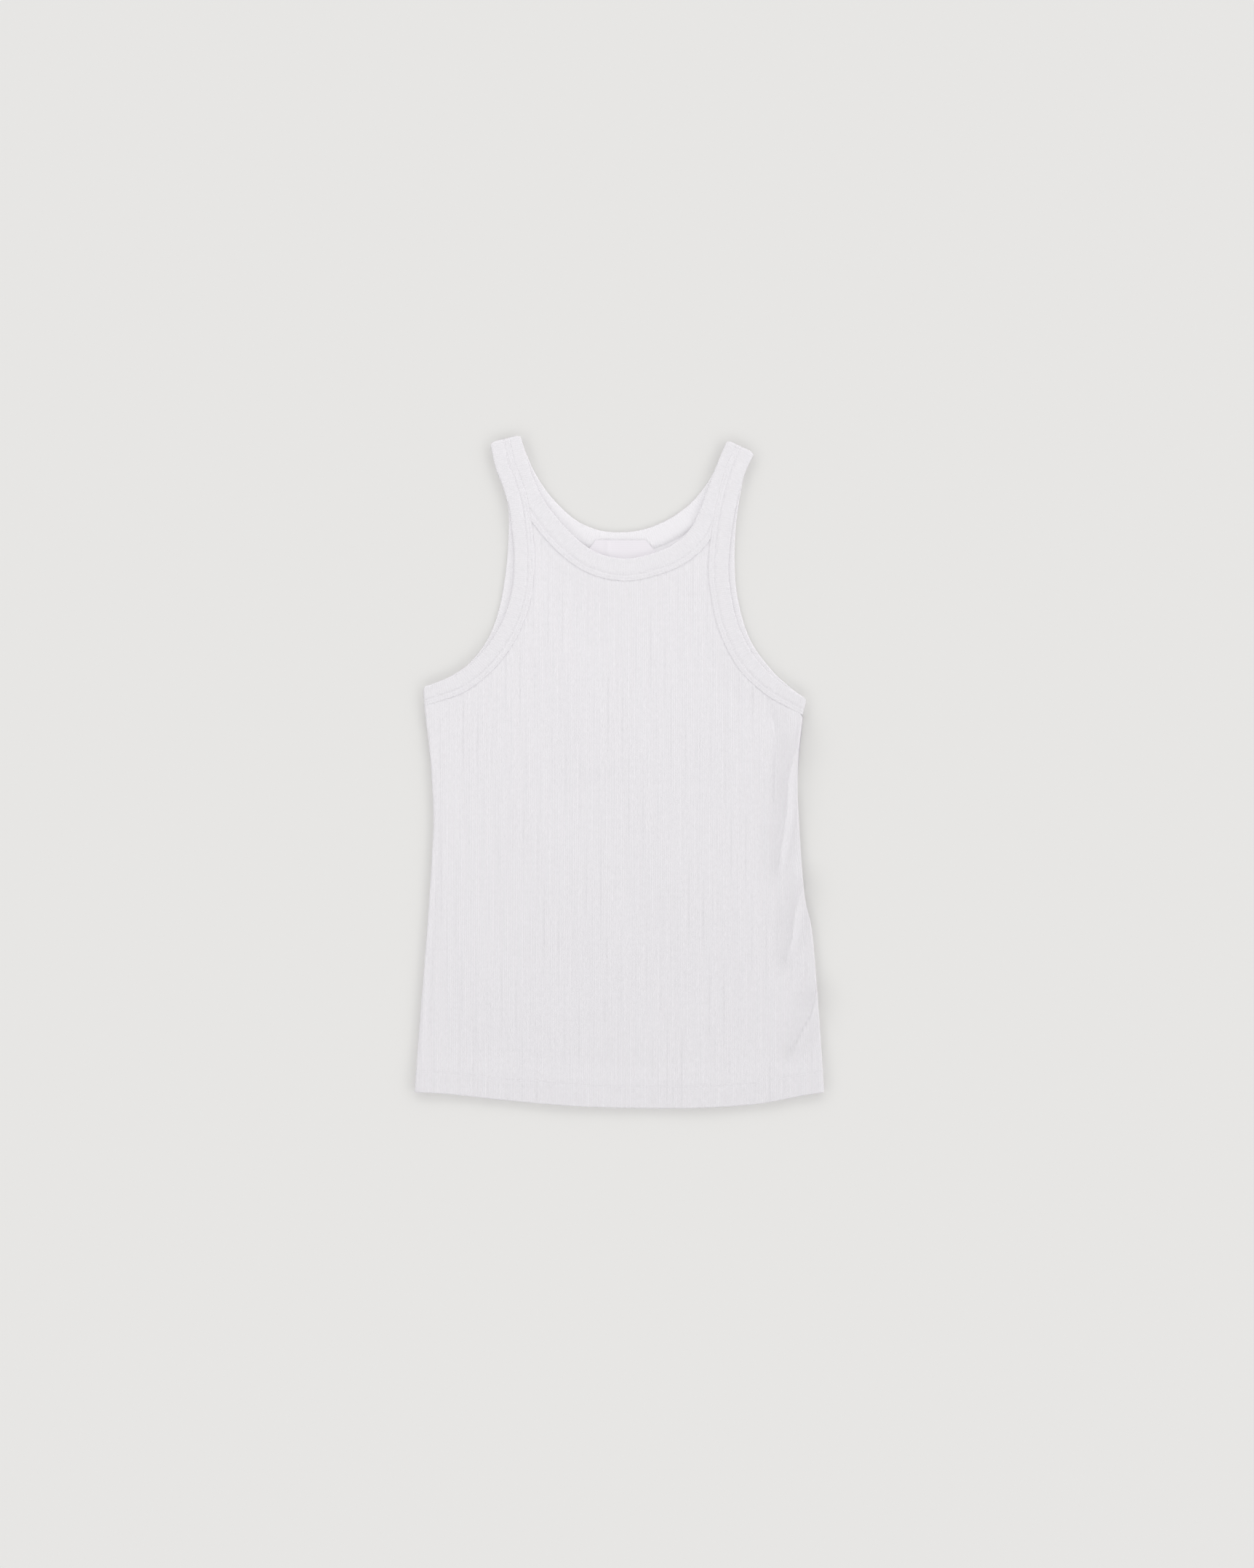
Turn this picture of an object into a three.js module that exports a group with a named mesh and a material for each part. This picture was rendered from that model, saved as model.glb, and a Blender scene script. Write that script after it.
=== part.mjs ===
import * as THREE from "three";

// A ribbed cotton tank top laid flat, face up, on its own back panel.
// Millimetres. +X is to the right of the wearer's front as seen from above, +Y runs from the hem to the
// shoulders, +Z is up from the surface. Tables count x from the middle and y from the lowest hem point.

// Driving sizes
const garmentLength = 598; // lowest hem point to the highest shoulder fold
const wall = 1.2; // one layer of rib
const hemWall = 1.9; // the hem, turned up once
const hemDepth = 19;
const hemStep = 1; // the hem's turned edge thins out over this
const bandThickness = 1.9; // a binding: its own two layers round the panel's edge
const armBandWidth = 18;
const neckBandWidth = 20;
const seamGap = 0.3; // clear space at every seam and between layers
const frontBandUnderside = 2.4;
const rollRadius = 2.2; // how far in from a side fold the cloth turns flat
const foldRadius = (frontBandUnderside + bandThickness) / 2; // outer radius where a band folds to the back
const foldMiddle = foldRadius; // height of every fold's axis
const bandTurn = foldRadius - bandThickness / 2; // radius of a folded band's middle
const foldBlend = 32; // how far from a fold a band's width still leans to the fold line
const underarmTaper = 60; // the stretch over which an armhole band narrows to the underarm
const labelThickness = 0.6;
const roughness = 0.92;
const colours = { panel: 0xe7e5e8, binding: 0xeae8eb, label: 0xe1dde3 };

// A table is a list of rows with named columns
const table = (columns, rows) =>
  rows.map((row) => Object.fromEntries(columns.map((name, i) => [name, row[i]])));
const places = (rows) => table(["x", "y"], rows);

// Folds over which the straps and the underarms turn from the front to the back: where the armhole's free
// edge crosses, and where the other edge of the strap or band does
const shoulders = {
  left: { armEdge: { x: -115, y: 591 }, neckEdge: { x: -88, y: 598 } },
  right: { armEdge: { x: 120, y: 582 }, neckEdge: { x: 96, y: 593.5 } },
};
const underarms = {
  left: { armEdge: { x: -174.5, y: 374.5 }, seam: { x: -173.5, y: 357.5 } },
  right: { armEdge: { x: 166.5, y: 364 }, seam: { x: 163, y: 349 } },
};

// Free edges of the bindings between those folds
const neckEdges = {
  front: places([
    [-79, 567], [-71.5, 548], [-59, 528.5], [-39.5, 507], [-19, 493], [5.5, 488],
    [28.5, 492.5], [47.5, 500.5], [62.5, 514], [71.5, 531.5], [78, 549], [85.5, 569],
  ]),
  back: places([
    [-82.5, 581], [-74.5, 563.5], [-61, 543.5], [-41, 524], [-20.5, 514], [-0.5, 511.5],
    [21.5, 514], [44.5, 523.5], [63.5, 537.5], [78, 555], [87, 571.5],
  ]),
};
const neckBottoms = { front: { x: 5.5, y: 488 }, back: { x: -0.5, y: 511.5 } };
const armEdges = {
  front: {
    left: places([
      [-110, 569], [-104.5, 554.5], [-98.5, 535], [-95.5, 513.5], [-93.5, 487.5],
      [-96, 457.5], [-105.5, 429.5], [-122, 405], [-143, 386.5], [-162.5, 378],
    ]),
    right: places([
      [111.5, 563.5], [105.5, 542], [100.5, 517.5], [97, 483], [99, 457.5],
      [105.5, 429.5], [119, 402.5], [137.5, 382.5], [153, 371.5],
    ]),
  },
  back: {
    left: places([
      [-110, 569], [-104.5, 554.5], [-99, 535], [-98.5, 509], [-101, 476.5],
      [-107, 443], [-117, 416.5], [-133.5, 395], [-152, 382.5],
    ]),
    right: places([
      [111.5, 563.5], [107, 542], [103.5, 515.5], [102.5, 483], [105.5, 451],
      [116, 416.5], [134.5, 390], [152, 373.5],
    ]),
  },
};

// Side folds from the hem's corner to the underarm, and the hem
const sides = {
  left: places([[-182, 14], [-178.5, 63.5], [-171, 157], [-166, 234.5], [-165.5, 267], [-168, 310]]),
  right: places([[182, 14], [179, 60], [174, 128], [170, 163.5], [162.5, 192.5], [158.5, 250], [158.5, 299]]),
};
const hem = places([
  [-182, 14], [-149.5, 12], [-98, 6.5], [-46, 2], [5.5, 0], [70, 0], [122, 3.5], [160.5, 10.5], [182, 14],
]);

// The front's creases: how high each stands, and how far it reaches to the left and the right of its crest
const creases = table(
  ["name", "height", "left", "right", "fade", "crest"],
  [
    ["left side roll", 0.9, 9, 16, 40, places([[-160.5, 345], [-158, 254], [-162, 144], [-170, 36]])],
    ["right upper crest", 2.3, 9, 8, 45, places([[163, 345], [158.5, 320], [147.5, 271], [139, 215]])],
    ["right middle crest", 1.7, 24, 7, 26, places([[164, 208], [159, 183], [153, 146], [146, 124]])],
    ["right lower crest", 1.8, 8, 7, 22, places([[179, 112], [173, 93.5], [162, 71.5], [144, 45]])],
    ["first underarm ripple", 0.5, 5, 5, 25, places([[110, 405], [110, 330]])],
    ["second underarm ripple", 0.5, 4, 4, 25, places([[119, 398], [119, 325]])],
    ["third underarm ripple", 0.6, 5, 5, 25, places([[130, 385], [131, 310]])],
  ],
);

// The label: its two upper corners are turned under at a slant, so it widens below them
const label = { top: 504.5, left: -20.5, right: 23.5, bottom: 478, slant: 12, slantOut: 10 };

// How high the front lies over the back, and how far in from its own edges it stays raised
const frontRest = wall + seamGap + wall;
const raised = { seam: 0.9, hem: 1.5, side: 1.6 };
const reach = { seam: 22, hem: 22, side: 30 };

// Small helpers
const plane = ({ x, y }) => new THREE.Vector2(x, y);
const spline = (rows) => new THREE.SplineCurve(rows.map(plane));
const { clamp, lerp, smoothstep } = THREE.MathUtils;
const fadeOut = (distance, over) => 1 - smoothstep(distance, 0, over);
const direction = (from, to) => plane(to).sub(plane(from)).normalize();
const flip = { left: -1, right: 1 };

// A fold: where a band's free edge crosses its axis, the way across the band, and the way out of the cloth
function foldAt(edge, other, outward) {
  const across = direction(edge, other);
  const out = new THREE.Vector2(-across.y, across.x);
  if (out.dot(outward) < 0) out.negate();
  return { across, out, axis: plane(edge).addScaledVector(out, -foldRadius) };
}
const up = new THREE.Vector2(0, 1);
const folds = {};
for (const side of ["left", "right"]) {
  const { armEdge, neckEdge } = shoulders[side];
  const underarm = underarms[side];
  folds[side] = {
    strapArm: foldAt(armEdge, neckEdge, up),
    strapNeck: foldAt(neckEdge, armEdge, up),
    underarm: foldAt(underarm.armEdge, underarm.seam, new THREE.Vector2(flip[side], 0)),
    underarmWidth: plane(underarm.armEdge).distanceTo(plane(underarm.seam)),
  };
}

// One face's stretch of a band, from fold to fold. cloth is 1 where the cloth lies left of the way along.
function stretch(edge, start, end, cloth, widthAt) {
  const curve = spline([start.axis, ...edge, end.axis]);
  const length = curve.getLength();
  const at = (u) => {
    const point = curve.getPointAt(u);
    const way = curve.getTangentAt(u);
    const across = new THREE.Vector2(-way.y, way.x).multiplyScalar(cloth);
    across.lerp(start.across, fadeOut(u * length, foldBlend));
    across.lerp(end.across, fadeOut((1 - u) * length, foldBlend)).normalize();
    return { point, across, width: widthAt(u, length, point, across) };
  };
  const seam = (u, gap = 0) => {
    const { point, across, width } = at(u);
    return point.addScaledVector(across, width + gap);
  };
  return { at, seam, length, start, end };
}

// An armhole band narrows a little where it passes under the arm
function armStretch(face, side) {
  const underarmWidth = folds[side].underarmWidth;
  const widthAt = (u, length) => lerp(armBandWidth, underarmWidth, fadeOut((1 - u) * length, underarmTaper));
  return stretch(armEdges[face][side], folds[side].strapArm, folds[side].underarm, -flip[side], widthAt);
}

// Where a straight way across a band meets a line of points
function wayToLine(point, across, line) {
  let nearest = { distance: Infinity };
  for (let i = 1; i < line.length; i++) {
    const from = line[i - 1];
    const along = line[i].clone().sub(from);
    const cross = across.cross(along);
    if (cross === 0) continue;
    const offset = from.clone().sub(point);
    const distance = offset.cross(along) / cross;
    const share = offset.cross(across) / cross;
    if (distance <= 0 || share < 0 || share > 1 || distance > nearest.distance) continue;
    nearest = { distance, place: (i - 1 + share) / (line.length - 1) };
  }
  return nearest;
}

// The neck band keeps its width until it meets the armhole bands on the straps. There the armhole's seam is
// carried on past the shoulder fold, so that a way along the fold still meets it.
const lineSteps = 120;
const fineSteps = 480;
const seamLine = (band) => Array.from({ length: lineSteps + 1 }, (_, i) => band.seam(i / lineSteps));
function neckStretch(face, arms) {
  const lines = [arms.left, arms.right].map((arm) => {
    const line = seamLine(arm);
    return [line[0].clone().addScaledVector(arm.start.out, foldRadius), ...line];
  });
  const widthAt = (u, length, point, across) => {
    const room = Math.min(...lines.map((line) => wayToLine(point, across, line).distance));
    return Math.min(neckBandWidth, room - seamGap);
  };
  return stretch(neckEdges[face], folds.left.strapNeck, folds.right.strapNeck, -1, widthAt);
}

const bands = {};
for (const face of ["front", "back"]) {
  const arms = { left: armStretch(face, "left"), right: armStretch(face, "right") };
  bands[face] = { arms, neck: neckStretch(face, arms) };
}

const finish = (color) => new THREE.MeshStandardMaterial({ color, roughness, metalness: 0 });

// Turns a mesh's faces outwards, and gives it a name and a finish
function solid(name, colour, positions, index) {
  const corner = (i) => new THREE.Vector3(...positions.slice(3 * i, 3 * i + 3));
  let volume = 0;
  for (let i = 0; i < index.length; i += 3) {
    volume += corner(index[i]).dot(corner(index[i + 1]).cross(corner(index[i + 2])));
  }
  const faces = volume < 0 ? index.toReversed() : index;
  const geometry = new THREE.BufferGeometry();
  geometry.setAttribute("position", new THREE.Float32BufferAttribute(positions, 3));
  geometry.setIndex(faces);
  geometry.computeVertexNormals();
  const mesh = new THREE.Mesh(geometry, finish(colour));
  mesh.name = name;
  return mesh;
}

// The front lies higher where the label is under it
const labelTop = bandThickness + seamGap + labelThickness;
const labelLift = { height: labelTop + seamGap - frontBandUnderside, near: 38, over: 40 };
function liftOverLabel(point) {
  const middle = new THREE.Vector2((label.left + label.right) / 2, neckBottoms.front.y);
  return labelLift.height * fadeOut(Math.max(middle.distanceTo(point) - labelLift.near, 0), labelLift.over);
}

// Sections of a band: the outline of its cut, rounded at the free edge and at the seam
const stepAlong = 8.5;
const foldSteps = 6;
const freeEdge = { round: 0.5, face: 0.43 };
const seamEdge = { round: 0.35, face: 0.57 };
function cut({ point, height, across, top, width }) {
  const half = bandThickness / 2;
  const [free, sewn] = [half * freeEdge.face, half * seamEdge.face];
  const outline = [
    [0, -free], [freeEdge.round, -half], [width - seamEdge.round, -half], [width, -sewn],
    [width, sewn], [width - seamEdge.round, half], [freeEdge.round, half], [0, free],
  ];
  return outline.map(([a, b]) =>
    new THREE.Vector3(point.x, point.y, height)
      .add(new THREE.Vector3(across.x * a, across.y * a, 0))
      .addScaledVector(top, b),
  );
}

// Sections along one face; the back is run from its end to its start
function faceCuts(band, face) {
  const steps = Math.round(band.length / stepAlong);
  const sign = face === "front" ? 1 : -1;
  return Array.from({ length: steps + 1 }, (_, i) => {
    const u = face === "front" ? i / steps : 1 - i / steps;
    const place = band.at(u);
    const lift = face === "front" ? liftOverLabel(place.point) : 0;
    return cut({ ...place, height: foldMiddle + sign * bandTurn + lift, top: new THREE.Vector3(0, 0, sign) });
  });
}

// Sections round a fold, from the front to the back or the other way
function foldCuts(fold, width, toBack) {
  return Array.from({ length: foldSteps - 1 }, (_, i) => {
    const turned = (Math.PI * (i + 1)) / foldSteps;
    const angle = toBack ? turned : Math.PI - turned;
    const point = fold.axis.clone().addScaledVector(fold.out, bandTurn * Math.sin(angle));
    const height = foldMiddle + bandTurn * Math.cos(angle);
    const outward = fold.out.clone().multiplyScalar(Math.sin(angle));
    const top = new THREE.Vector3(outward.x, outward.y, Math.cos(angle));
    return cut({ point, height, across: fold.across, top, width });
  });
}

// A closed band from its ring of sections
function loop(name, cuts) {
  const size = cuts[0].length;
  const positions = cuts.flat().flatMap((p) => p.toArray());
  const index = [];
  for (let i = 0; i < cuts.length; i++) {
    const next = (i + 1) % cuts.length;
    for (let j = 0; j < size; j++) {
      const k = (j + 1) % size;
      const [a, b, c, d] = [i * size + j, i * size + k, next * size + k, next * size + j];
      index.push(a, b, c, a, c, d);
    }
  }
  return solid(name, colours.binding, positions, index);
}

function binding(name, front, back) {
  return loop(name, [
    ...faceCuts(front, "front"),
    ...foldCuts(front.end, front.at(1).width, true),
    ...faceCuts(back, "back"),
    ...foldCuts(front.start, front.at(0).width, false),
  ]);
}

// Heights over the surface. The side fold's x at a height y, and the hem's y at a place x:
const sideCurves = {};
for (const side of ["left", "right"]) {
  const fold = folds[side];
  const top = plane(underarms[side].seam).addScaledVector(fold.underarm.across, seamGap);
  sideCurves[side] = spline([...sides[side], top]).getSpacedPoints(lineSteps);
}
const hemCurve = spline(hem).getSpacedPoints(lineSteps);
function alongLine(line, from, to, value) {
  const after = line.findIndex((point) => point[from] > value);
  if (after === 0) return line[0][to];
  if (after < 0) return line[line.length - 1][to];
  const [a, b] = [line[after - 1], line[after]];
  return lerp(a[to], b[to], (value - a[from]) / (b[from] - a[from]));
}
const sideX = (side, y) => alongLine(sideCurves[side], "y", "x", y);
const hemY = (x) => alongLine(hemCurve, "x", "y", x);

// Nearest place on a crest: how far away, on which side, and how far along
function nearCrest(point, crest) {
  let best = { distance: Infinity };
  let before = 0;
  for (let i = 1; i < crest.length; i++) {
    const from = plane(crest[i - 1]);
    const run = plane(crest[i]).sub(from);
    const share = clamp(point.clone().sub(from).dot(run) / run.lengthSq(), 0, 1);
    const foot = from.addScaledVector(run, share);
    const distance = foot.distanceTo(point);
    if (distance < best.distance) {
      best = { distance, right: point.x > foot.x, along: before + share * run.length() };
    }
    before += run.length();
  }
  return { ...best, length: before };
}

function creaseHeight(point) {
  let height = 0;
  for (const crease of creases) {
    const near = nearCrest(point, crease.crest);
    const share = near.distance / (near.right ? crease.right : crease.left);
    if (share >= 1) continue;
    const ends = smoothstep(Math.min(near.along, near.length - near.along), 0, crease.fade);
    height += crease.height * (1 - share * share) ** 2 * ends;
  }
  return height;
}

const frontSeams = [bands.front.neck, bands.front.arms.left, bands.front.arms.right].flatMap(seamLine);
const faces = {
  front: {
    up: 1,
    height(point, inset) {
      const seam = Math.min(...frontSeams.map((place) => place.distanceTo(point)));
      const aboveHem = point.y - hemY(point.x) - hemDepth;
      const lifts = [
        raised.seam * fadeOut(seam, reach.seam),
        raised.hem * fadeOut(aboveHem, reach.hem),
        raised.side * fadeOut(inset, reach.side),
      ];
      return frontRest + Math.hypot(...lifts) + creaseHeight(point) + liftOverLabel(point);
    },
  },
  back: { up: -1, height: () => 0 },
};

// A point of a panel's outer skin, and the one a wall's thickness inside it. Close to a side fold the skin
// turns down, or up, to the fold's axis.
function skins(face, side, point) {
  const inset = Math.abs(point.x - sideX(side, point.y));
  const flat = Math.min(inset / rollRadius, 1);
  const rise = Math.sqrt(1 - (1 - flat) ** 2);
  const edgeHeight = foldMiddle + (face.up * seamGap) / 2;
  const height = lerp(edgeHeight, face.height(point, inset), rise);
  const inHem = point.y - hemY(point.x) < hemDepth - hemStep / 2;
  const outward = new THREE.Vector3(flip[side] * (1 - flat), 0, face.up * rise);
  const outer = new THREE.Vector3(point.x, point.y, height);
  const inner = outer.clone().addScaledVector(outward, inHem ? -hemWall : -wall);
  return { outer, inner };
}

// Rows of a panel: up the side fold and the middle, then up the armhole's seam and the neck's
const rowPlans = {
  front: { side: 23, toNeck: 11, strap: 12 },
  back: { side: 14, toNeck: 10, strap: 12 },
};
const hemRows = [0, 1.5, hemDepth - hemStep, hemDepth, hemDepth + 8];
const seamCrowding = 1.3; // the rows crowd to the underarm
const strapEnd = 0.985; // the panel's tip stops short of where its two seams meet
const lastSideRow = 340; // how far up the middle the row that starts at the underarm ends

function sideRows(count) {
  const first = hemRows[hemRows.length - 1];
  const rest = count - hemRows.length + 1;
  const upper = Array.from({ length: rest }, (_, i) => lerp(first, lastSideRow, (i + 1) / rest));
  return [...hemRows, ...upper].map((height) => height / lastSideRow);
}

// Where the neck's seam meets an armhole's: the place along each band
function seamsMeet(neck, arm, from, to) {
  const line = seamLine(arm);
  for (let i = 1; i <= fineSteps; i++) {
    const u = lerp(from, to, i / fineSteps);
    const { point, across } = neck.at(u);
    const met = wayToLine(point, across, line);
    if (met.distance <= neckBandWidth + 2 * seamGap) return { neck: u, arm: met.place };
  }
  throw new Error("the neck band never meets the armhole band");
}

// The place along the neck band that is nearest its named lowest point
function lowestPlace(neck, bottom) {
  let best = { distance: Infinity };
  for (let i = 0; i <= fineSteps; i++) {
    const u = i / fineSteps;
    const distance = neck.at(u).point.distanceTo(plane(bottom));
    if (distance < best.distance) best = { distance, u };
  }
  return best.u;
}

// One half of a panel as rows of points, from its outer edge to the middle or the neck
function halfRows(faceName, side, columns, counts) {
  const { arms, neck } = bands[faceName];
  const arm = arms[side];
  const lowest = lowestPlace(neck, neckBottoms[faceName]);
  const neckBottom = neck.seam(lowest, seamGap);
  const meet = seamsMeet(neck, arm, lowest, side === "left" ? 0 : 1);
  const shares = columns.map((inset) => inset / columns[columns.length - 1]);
  const sideTop = arm.seam(1, seamGap);
  const corner = hem[side === "left" ? 0 : hem.length - 1];
  const rows = [];
  for (const share of sideRows(counts.side)) {
    const edgeY = lerp(corner.y, sideTop.y, share);
    const edgeX = sideX(side, edgeY);
    const rise = { edge: edgeY - corner.y, middle: lastSideRow * share };
    rows.push(
      shares.map((s) => {
        const x = lerp(edgeX, neckBottom.x, s);
        return new THREE.Vector2(x, hemY(x) + lerp(rise.edge, rise.middle, s));
      }),
    );
  }
  const upper = counts.toNeck + counts.strap;
  for (let k = 1; k <= upper; k++) {
    const climbed = (k / upper) ** seamCrowding * (k === upper ? strapEnd : 1);
    const outerEnd = arm.seam(lerp(1, meet.arm, climbed), seamGap);
    let innerEnd;
    if (k <= counts.toNeck) {
      innerEnd = new THREE.Vector2(neckBottom.x, lerp(lastSideRow, neckBottom.y, k / counts.toNeck));
    } else {
      const share = ((k - counts.toNeck) / counts.strap) * (k === upper ? strapEnd : 1);
      innerEnd = neck.seam(lerp(lowest, meet.neck, share), seamGap);
    }
    rows.push(shares.map((s) => outerEnd.clone().lerp(innerEnd, s)));
  }
  return rows;
}

// A panel: both halves share the middle column up to the neck, and every free edge is closed by a rim
function panel(name, faceName, columns, counts) {
  const outer = [];
  const inner = [];
  const quads = [];
  const middle = [];
  const neckRow = counts.side + counts.toNeck;
  for (const side of ["left", "right"]) {
    const ids = halfRows(faceName, side, columns[side], counts).map((row, k) =>
      row.map((point, j) => {
        const shared = j === row.length - 1 && k <= neckRow;
        if (shared && middle[k] !== undefined) return middle[k];
        const skin = skins(faces[faceName], side, point);
        outer.push(skin.outer);
        inner.push(skin.inner);
        if (shared) middle[k] = outer.length - 1;
        return outer.length - 1;
      }),
    );
    for (let k = 1; k < ids.length; k++) {
      for (let j = 1; j < ids[k].length; j++) {
        const quad = [ids[k - 1][j - 1], ids[k - 1][j], ids[k][j], ids[k][j - 1]];
        quads.push(side === "left" ? quad : quad.toReversed());
      }
    }
  }
  return wallFrom(name, colours.panel, outer, inner, quads);
}

// Closes two skins of the same quads into a wall, with a rim along every edge that only one quad has
function wallFrom(name, colour, outer, inner, quads) {
  const positions = [...outer, ...inner].flatMap((p) => p.toArray());
  const index = [];
  const once = new Map();
  const shift = outer.length;
  for (const quad of quads) {
    const [a, b, c, d] = quad;
    index.push(a, b, c, a, c, d);
    index.push(shift + c, shift + b, shift + a, shift + d, shift + c, shift + a);
    quad.forEach((from, i) => {
      const to = quad[(i + 1) % quad.length];
      if (!once.delete(`${to} ${from}`)) once.set(`${from} ${to}`, [from, to]);
    });
  }
  for (const [from, to] of once.values()) {
    index.push(to, from, shift + from, to, shift + from, shift + to);
  }
  return solid(name, colour, positions, index);
}

// Columns of each panel, in millimetres in from its side fold to its middle
const frontColumns = {
  left: [0, 0.3, 1, 2.2, 5, 9, 13, 18, 25, 36, 54, 80, 113, 148, 187.5],
  right: [
    0, 0.3, 1, 2.2, 5, 8, 11, 14, 17.5, 21, 24.5, 28, 31.5, 35, 39, 43, 48, 54, 61, 72, 92, 120, 150, 176.5,
  ],
};
const backColumns = {
  left: [0, 0.3, 1, 2.2, 20, 60, 110, 150, 182],
  right: [0, 0.3, 1, 2.2, 20, 60, 110, 150, 182],
};

// The blank label on the back band inside the neck, its lower edge tucked under the front band
function neckLabel() {
  const { left, right, top, bottom, slant, slantOut } = label;
  const outline = new THREE.Shape([
    new THREE.Vector2(left, top),
    new THREE.Vector2(left - slantOut, top - slant),
    new THREE.Vector2(left - slantOut, bottom),
    new THREE.Vector2(right + slantOut, bottom),
    new THREE.Vector2(right + slantOut, top - slant),
    new THREE.Vector2(right, top),
  ]);
  const geometry = new THREE.ExtrudeGeometry(outline, { depth: labelThickness, bevelEnabled: false });
  geometry.translate(0, 0, bandThickness + seamGap);
  const mesh = new THREE.Mesh(geometry, finish(colours.label));
  mesh.name = "neck_label";
  return mesh;
}

const garment = new THREE.Group();
garment.add(
  panel("front_panel", "front", frontColumns, rowPlans.front),
  panel("back_panel", "back", backColumns, rowPlans.back),
  binding("neck_binding", bands.front.neck, bands.back.neck),
  binding("armhole_binding_left", bands.front.arms.left, bands.back.arms.left),
  binding("armhole_binding_right", bands.front.arms.right, bands.back.arms.right),
  neckLabel(),
);
garment.position.y = -garmentLength / 2;

export default garment;
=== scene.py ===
# %% [markdown]
# # A ribbed cotton tank top, laid flat
# The garment lies face up on its own back, seen from straight above. A maker knits the body as a fine rib,
# cuts a front and a back, binds the neck and the armholes with folded strips of the same rib, and turns up
# the hem. Each of those pieces is built here as thin cloth over the solid that the frame holds for it.

# %% Load the frame
import math
import bmesh
import bpy
import numpy as np
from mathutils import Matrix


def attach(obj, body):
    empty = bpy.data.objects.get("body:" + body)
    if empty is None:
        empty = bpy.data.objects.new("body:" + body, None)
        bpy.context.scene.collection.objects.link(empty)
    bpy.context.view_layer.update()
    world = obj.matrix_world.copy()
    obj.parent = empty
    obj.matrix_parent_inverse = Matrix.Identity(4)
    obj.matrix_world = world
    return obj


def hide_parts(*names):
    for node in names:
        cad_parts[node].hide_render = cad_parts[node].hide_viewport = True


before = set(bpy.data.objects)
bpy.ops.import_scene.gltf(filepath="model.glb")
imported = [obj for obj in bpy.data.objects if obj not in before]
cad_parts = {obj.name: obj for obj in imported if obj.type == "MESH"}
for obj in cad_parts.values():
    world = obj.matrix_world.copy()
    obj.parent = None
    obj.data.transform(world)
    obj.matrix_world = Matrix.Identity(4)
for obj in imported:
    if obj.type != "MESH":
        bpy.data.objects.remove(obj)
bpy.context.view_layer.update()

# %% [markdown]
# ## Sizes
# All sizes are in millimetres, as a pattern maker would write them: x from the middle, y up from the lowest
# point of the hem, z up from the table. Each edge is a short list of places (x, y) along it. The frame's
# middle is half the garment's length above the hem, so a point only moves there, and to metres, when its
# mesh is made.

# %% Driving sizes
MM = 0.001
LENGTH = 598.0
HEM_DEPTH = 19.0
BAND_THICKNESS = 1.9
ARM_BAND_WIDTH = 18.0
NECK_BAND_WIDTH = 20.0
SEAM_GAP = -0.6  # a panel's raw edge runs a little way into the binding that is sewn round it
FRONT_BAND_UNDERSIDE = 2.4  # how high the front's bindings lie
PANEL_REST = 2.7  # the front panel's top where it lies on the back
ROLL_RADIUS = 1.3  # how far in from a side fold the cloth turns flat
FOLD_RADIUS = (FRONT_BAND_UNDERSIDE + BAND_THICKNESS) / 2
FOLD_TURN = FOLD_RADIUS - BAND_THICKNESS / 2  # from a fold's axis to the middle of its cloth
FOLD_BLEND = 32.0  # how far from a fold a band still leans to the fold's line
UNDERARM_TAPER = 60.0  # the stretch over which an armhole band narrows
CLOTH = 0.9  # the rib as one thin layer
HEM_CLOTH = 1.7  # the hem, turned up once

SHOULDERS = {
    "left": {"arm": (-115, 591), "neck": (-88, 598)},
    "right": {"arm": (120, 582), "neck": (96, 593.5)},
}
UNDERARMS = {
    "left": {"arm": (-174.5, 374.5), "seam": (-173.5, 357.5)},
    "right": {"arm": (166.5, 364), "seam": (163, 349)},
}
NECK_EDGES = {
    "front": [(-79, 567), (-71.5, 548), (-59, 528.5), (-39.5, 507), (-19, 493), (5.5, 488),
              (28.5, 492.5), (47.5, 500.5), (62.5, 514), (71.5, 531.5), (78, 549), (85.5, 569)],
    "back": [(-82.5, 581), (-74.5, 563.5), (-61, 543.5), (-41, 524), (-20.5, 514), (-0.5, 511.5),
             (21.5, 514), (44.5, 523.5), (63.5, 537.5), (78, 555), (87, 571.5)],
}
NECK_BOTTOMS = {"front": (5.5, 488), "back": (-0.5, 511.5)}
ARM_EDGES = {
    "front": {
        "left": [(-110, 569), (-104.5, 554.5), (-98.5, 535), (-95.5, 513.5), (-93.5, 487.5),
                 (-96, 457.5), (-105.5, 429.5), (-122, 405), (-143, 386.5), (-162.5, 378)],
        "right": [(111.5, 563.5), (105.5, 542), (100.5, 517.5), (97, 483), (99, 457.5),
                  (105.5, 429.5), (119, 402.5), (137.5, 382.5), (153, 371.5)],
    },
    "back": {
        "left": [(-110, 569), (-104.5, 554.5), (-99, 535), (-98.5, 509), (-101, 476.5),
                 (-107, 443), (-117, 416.5), (-133.5, 395), (-152, 382.5)],
        "right": [(111.5, 563.5), (107, 542), (103.5, 515.5), (102.5, 483), (105.5, 451),
                  (116, 416.5), (134.5, 390), (152, 373.5)],
    },
}
SIDES = {
    "left": [(-182, 14), (-178.5, 63.5), (-171, 157), (-166, 234.5), (-165.5, 267), (-168, 310)],
    "right": [(182, 14), (179, 60), (174, 128), (170.5, 163.5), (164.5, 192.5), (160, 250), (158.5, 299)],
}
HEM = [
    (-182, 14), (-149.5, 12), (-98, 6.5), (-46, 2), (5.5, 0), (70, 0), (122, 3.5), (160.5, 10.5), (182, 14),
]
LABEL = {"top": 504.5, "left": -20.5, "right": 23.5, "bottom": 478.0, "slant": 12.0, "slant_out": 10.0}
FLIP = {"left": -1, "right": 1}

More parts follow.
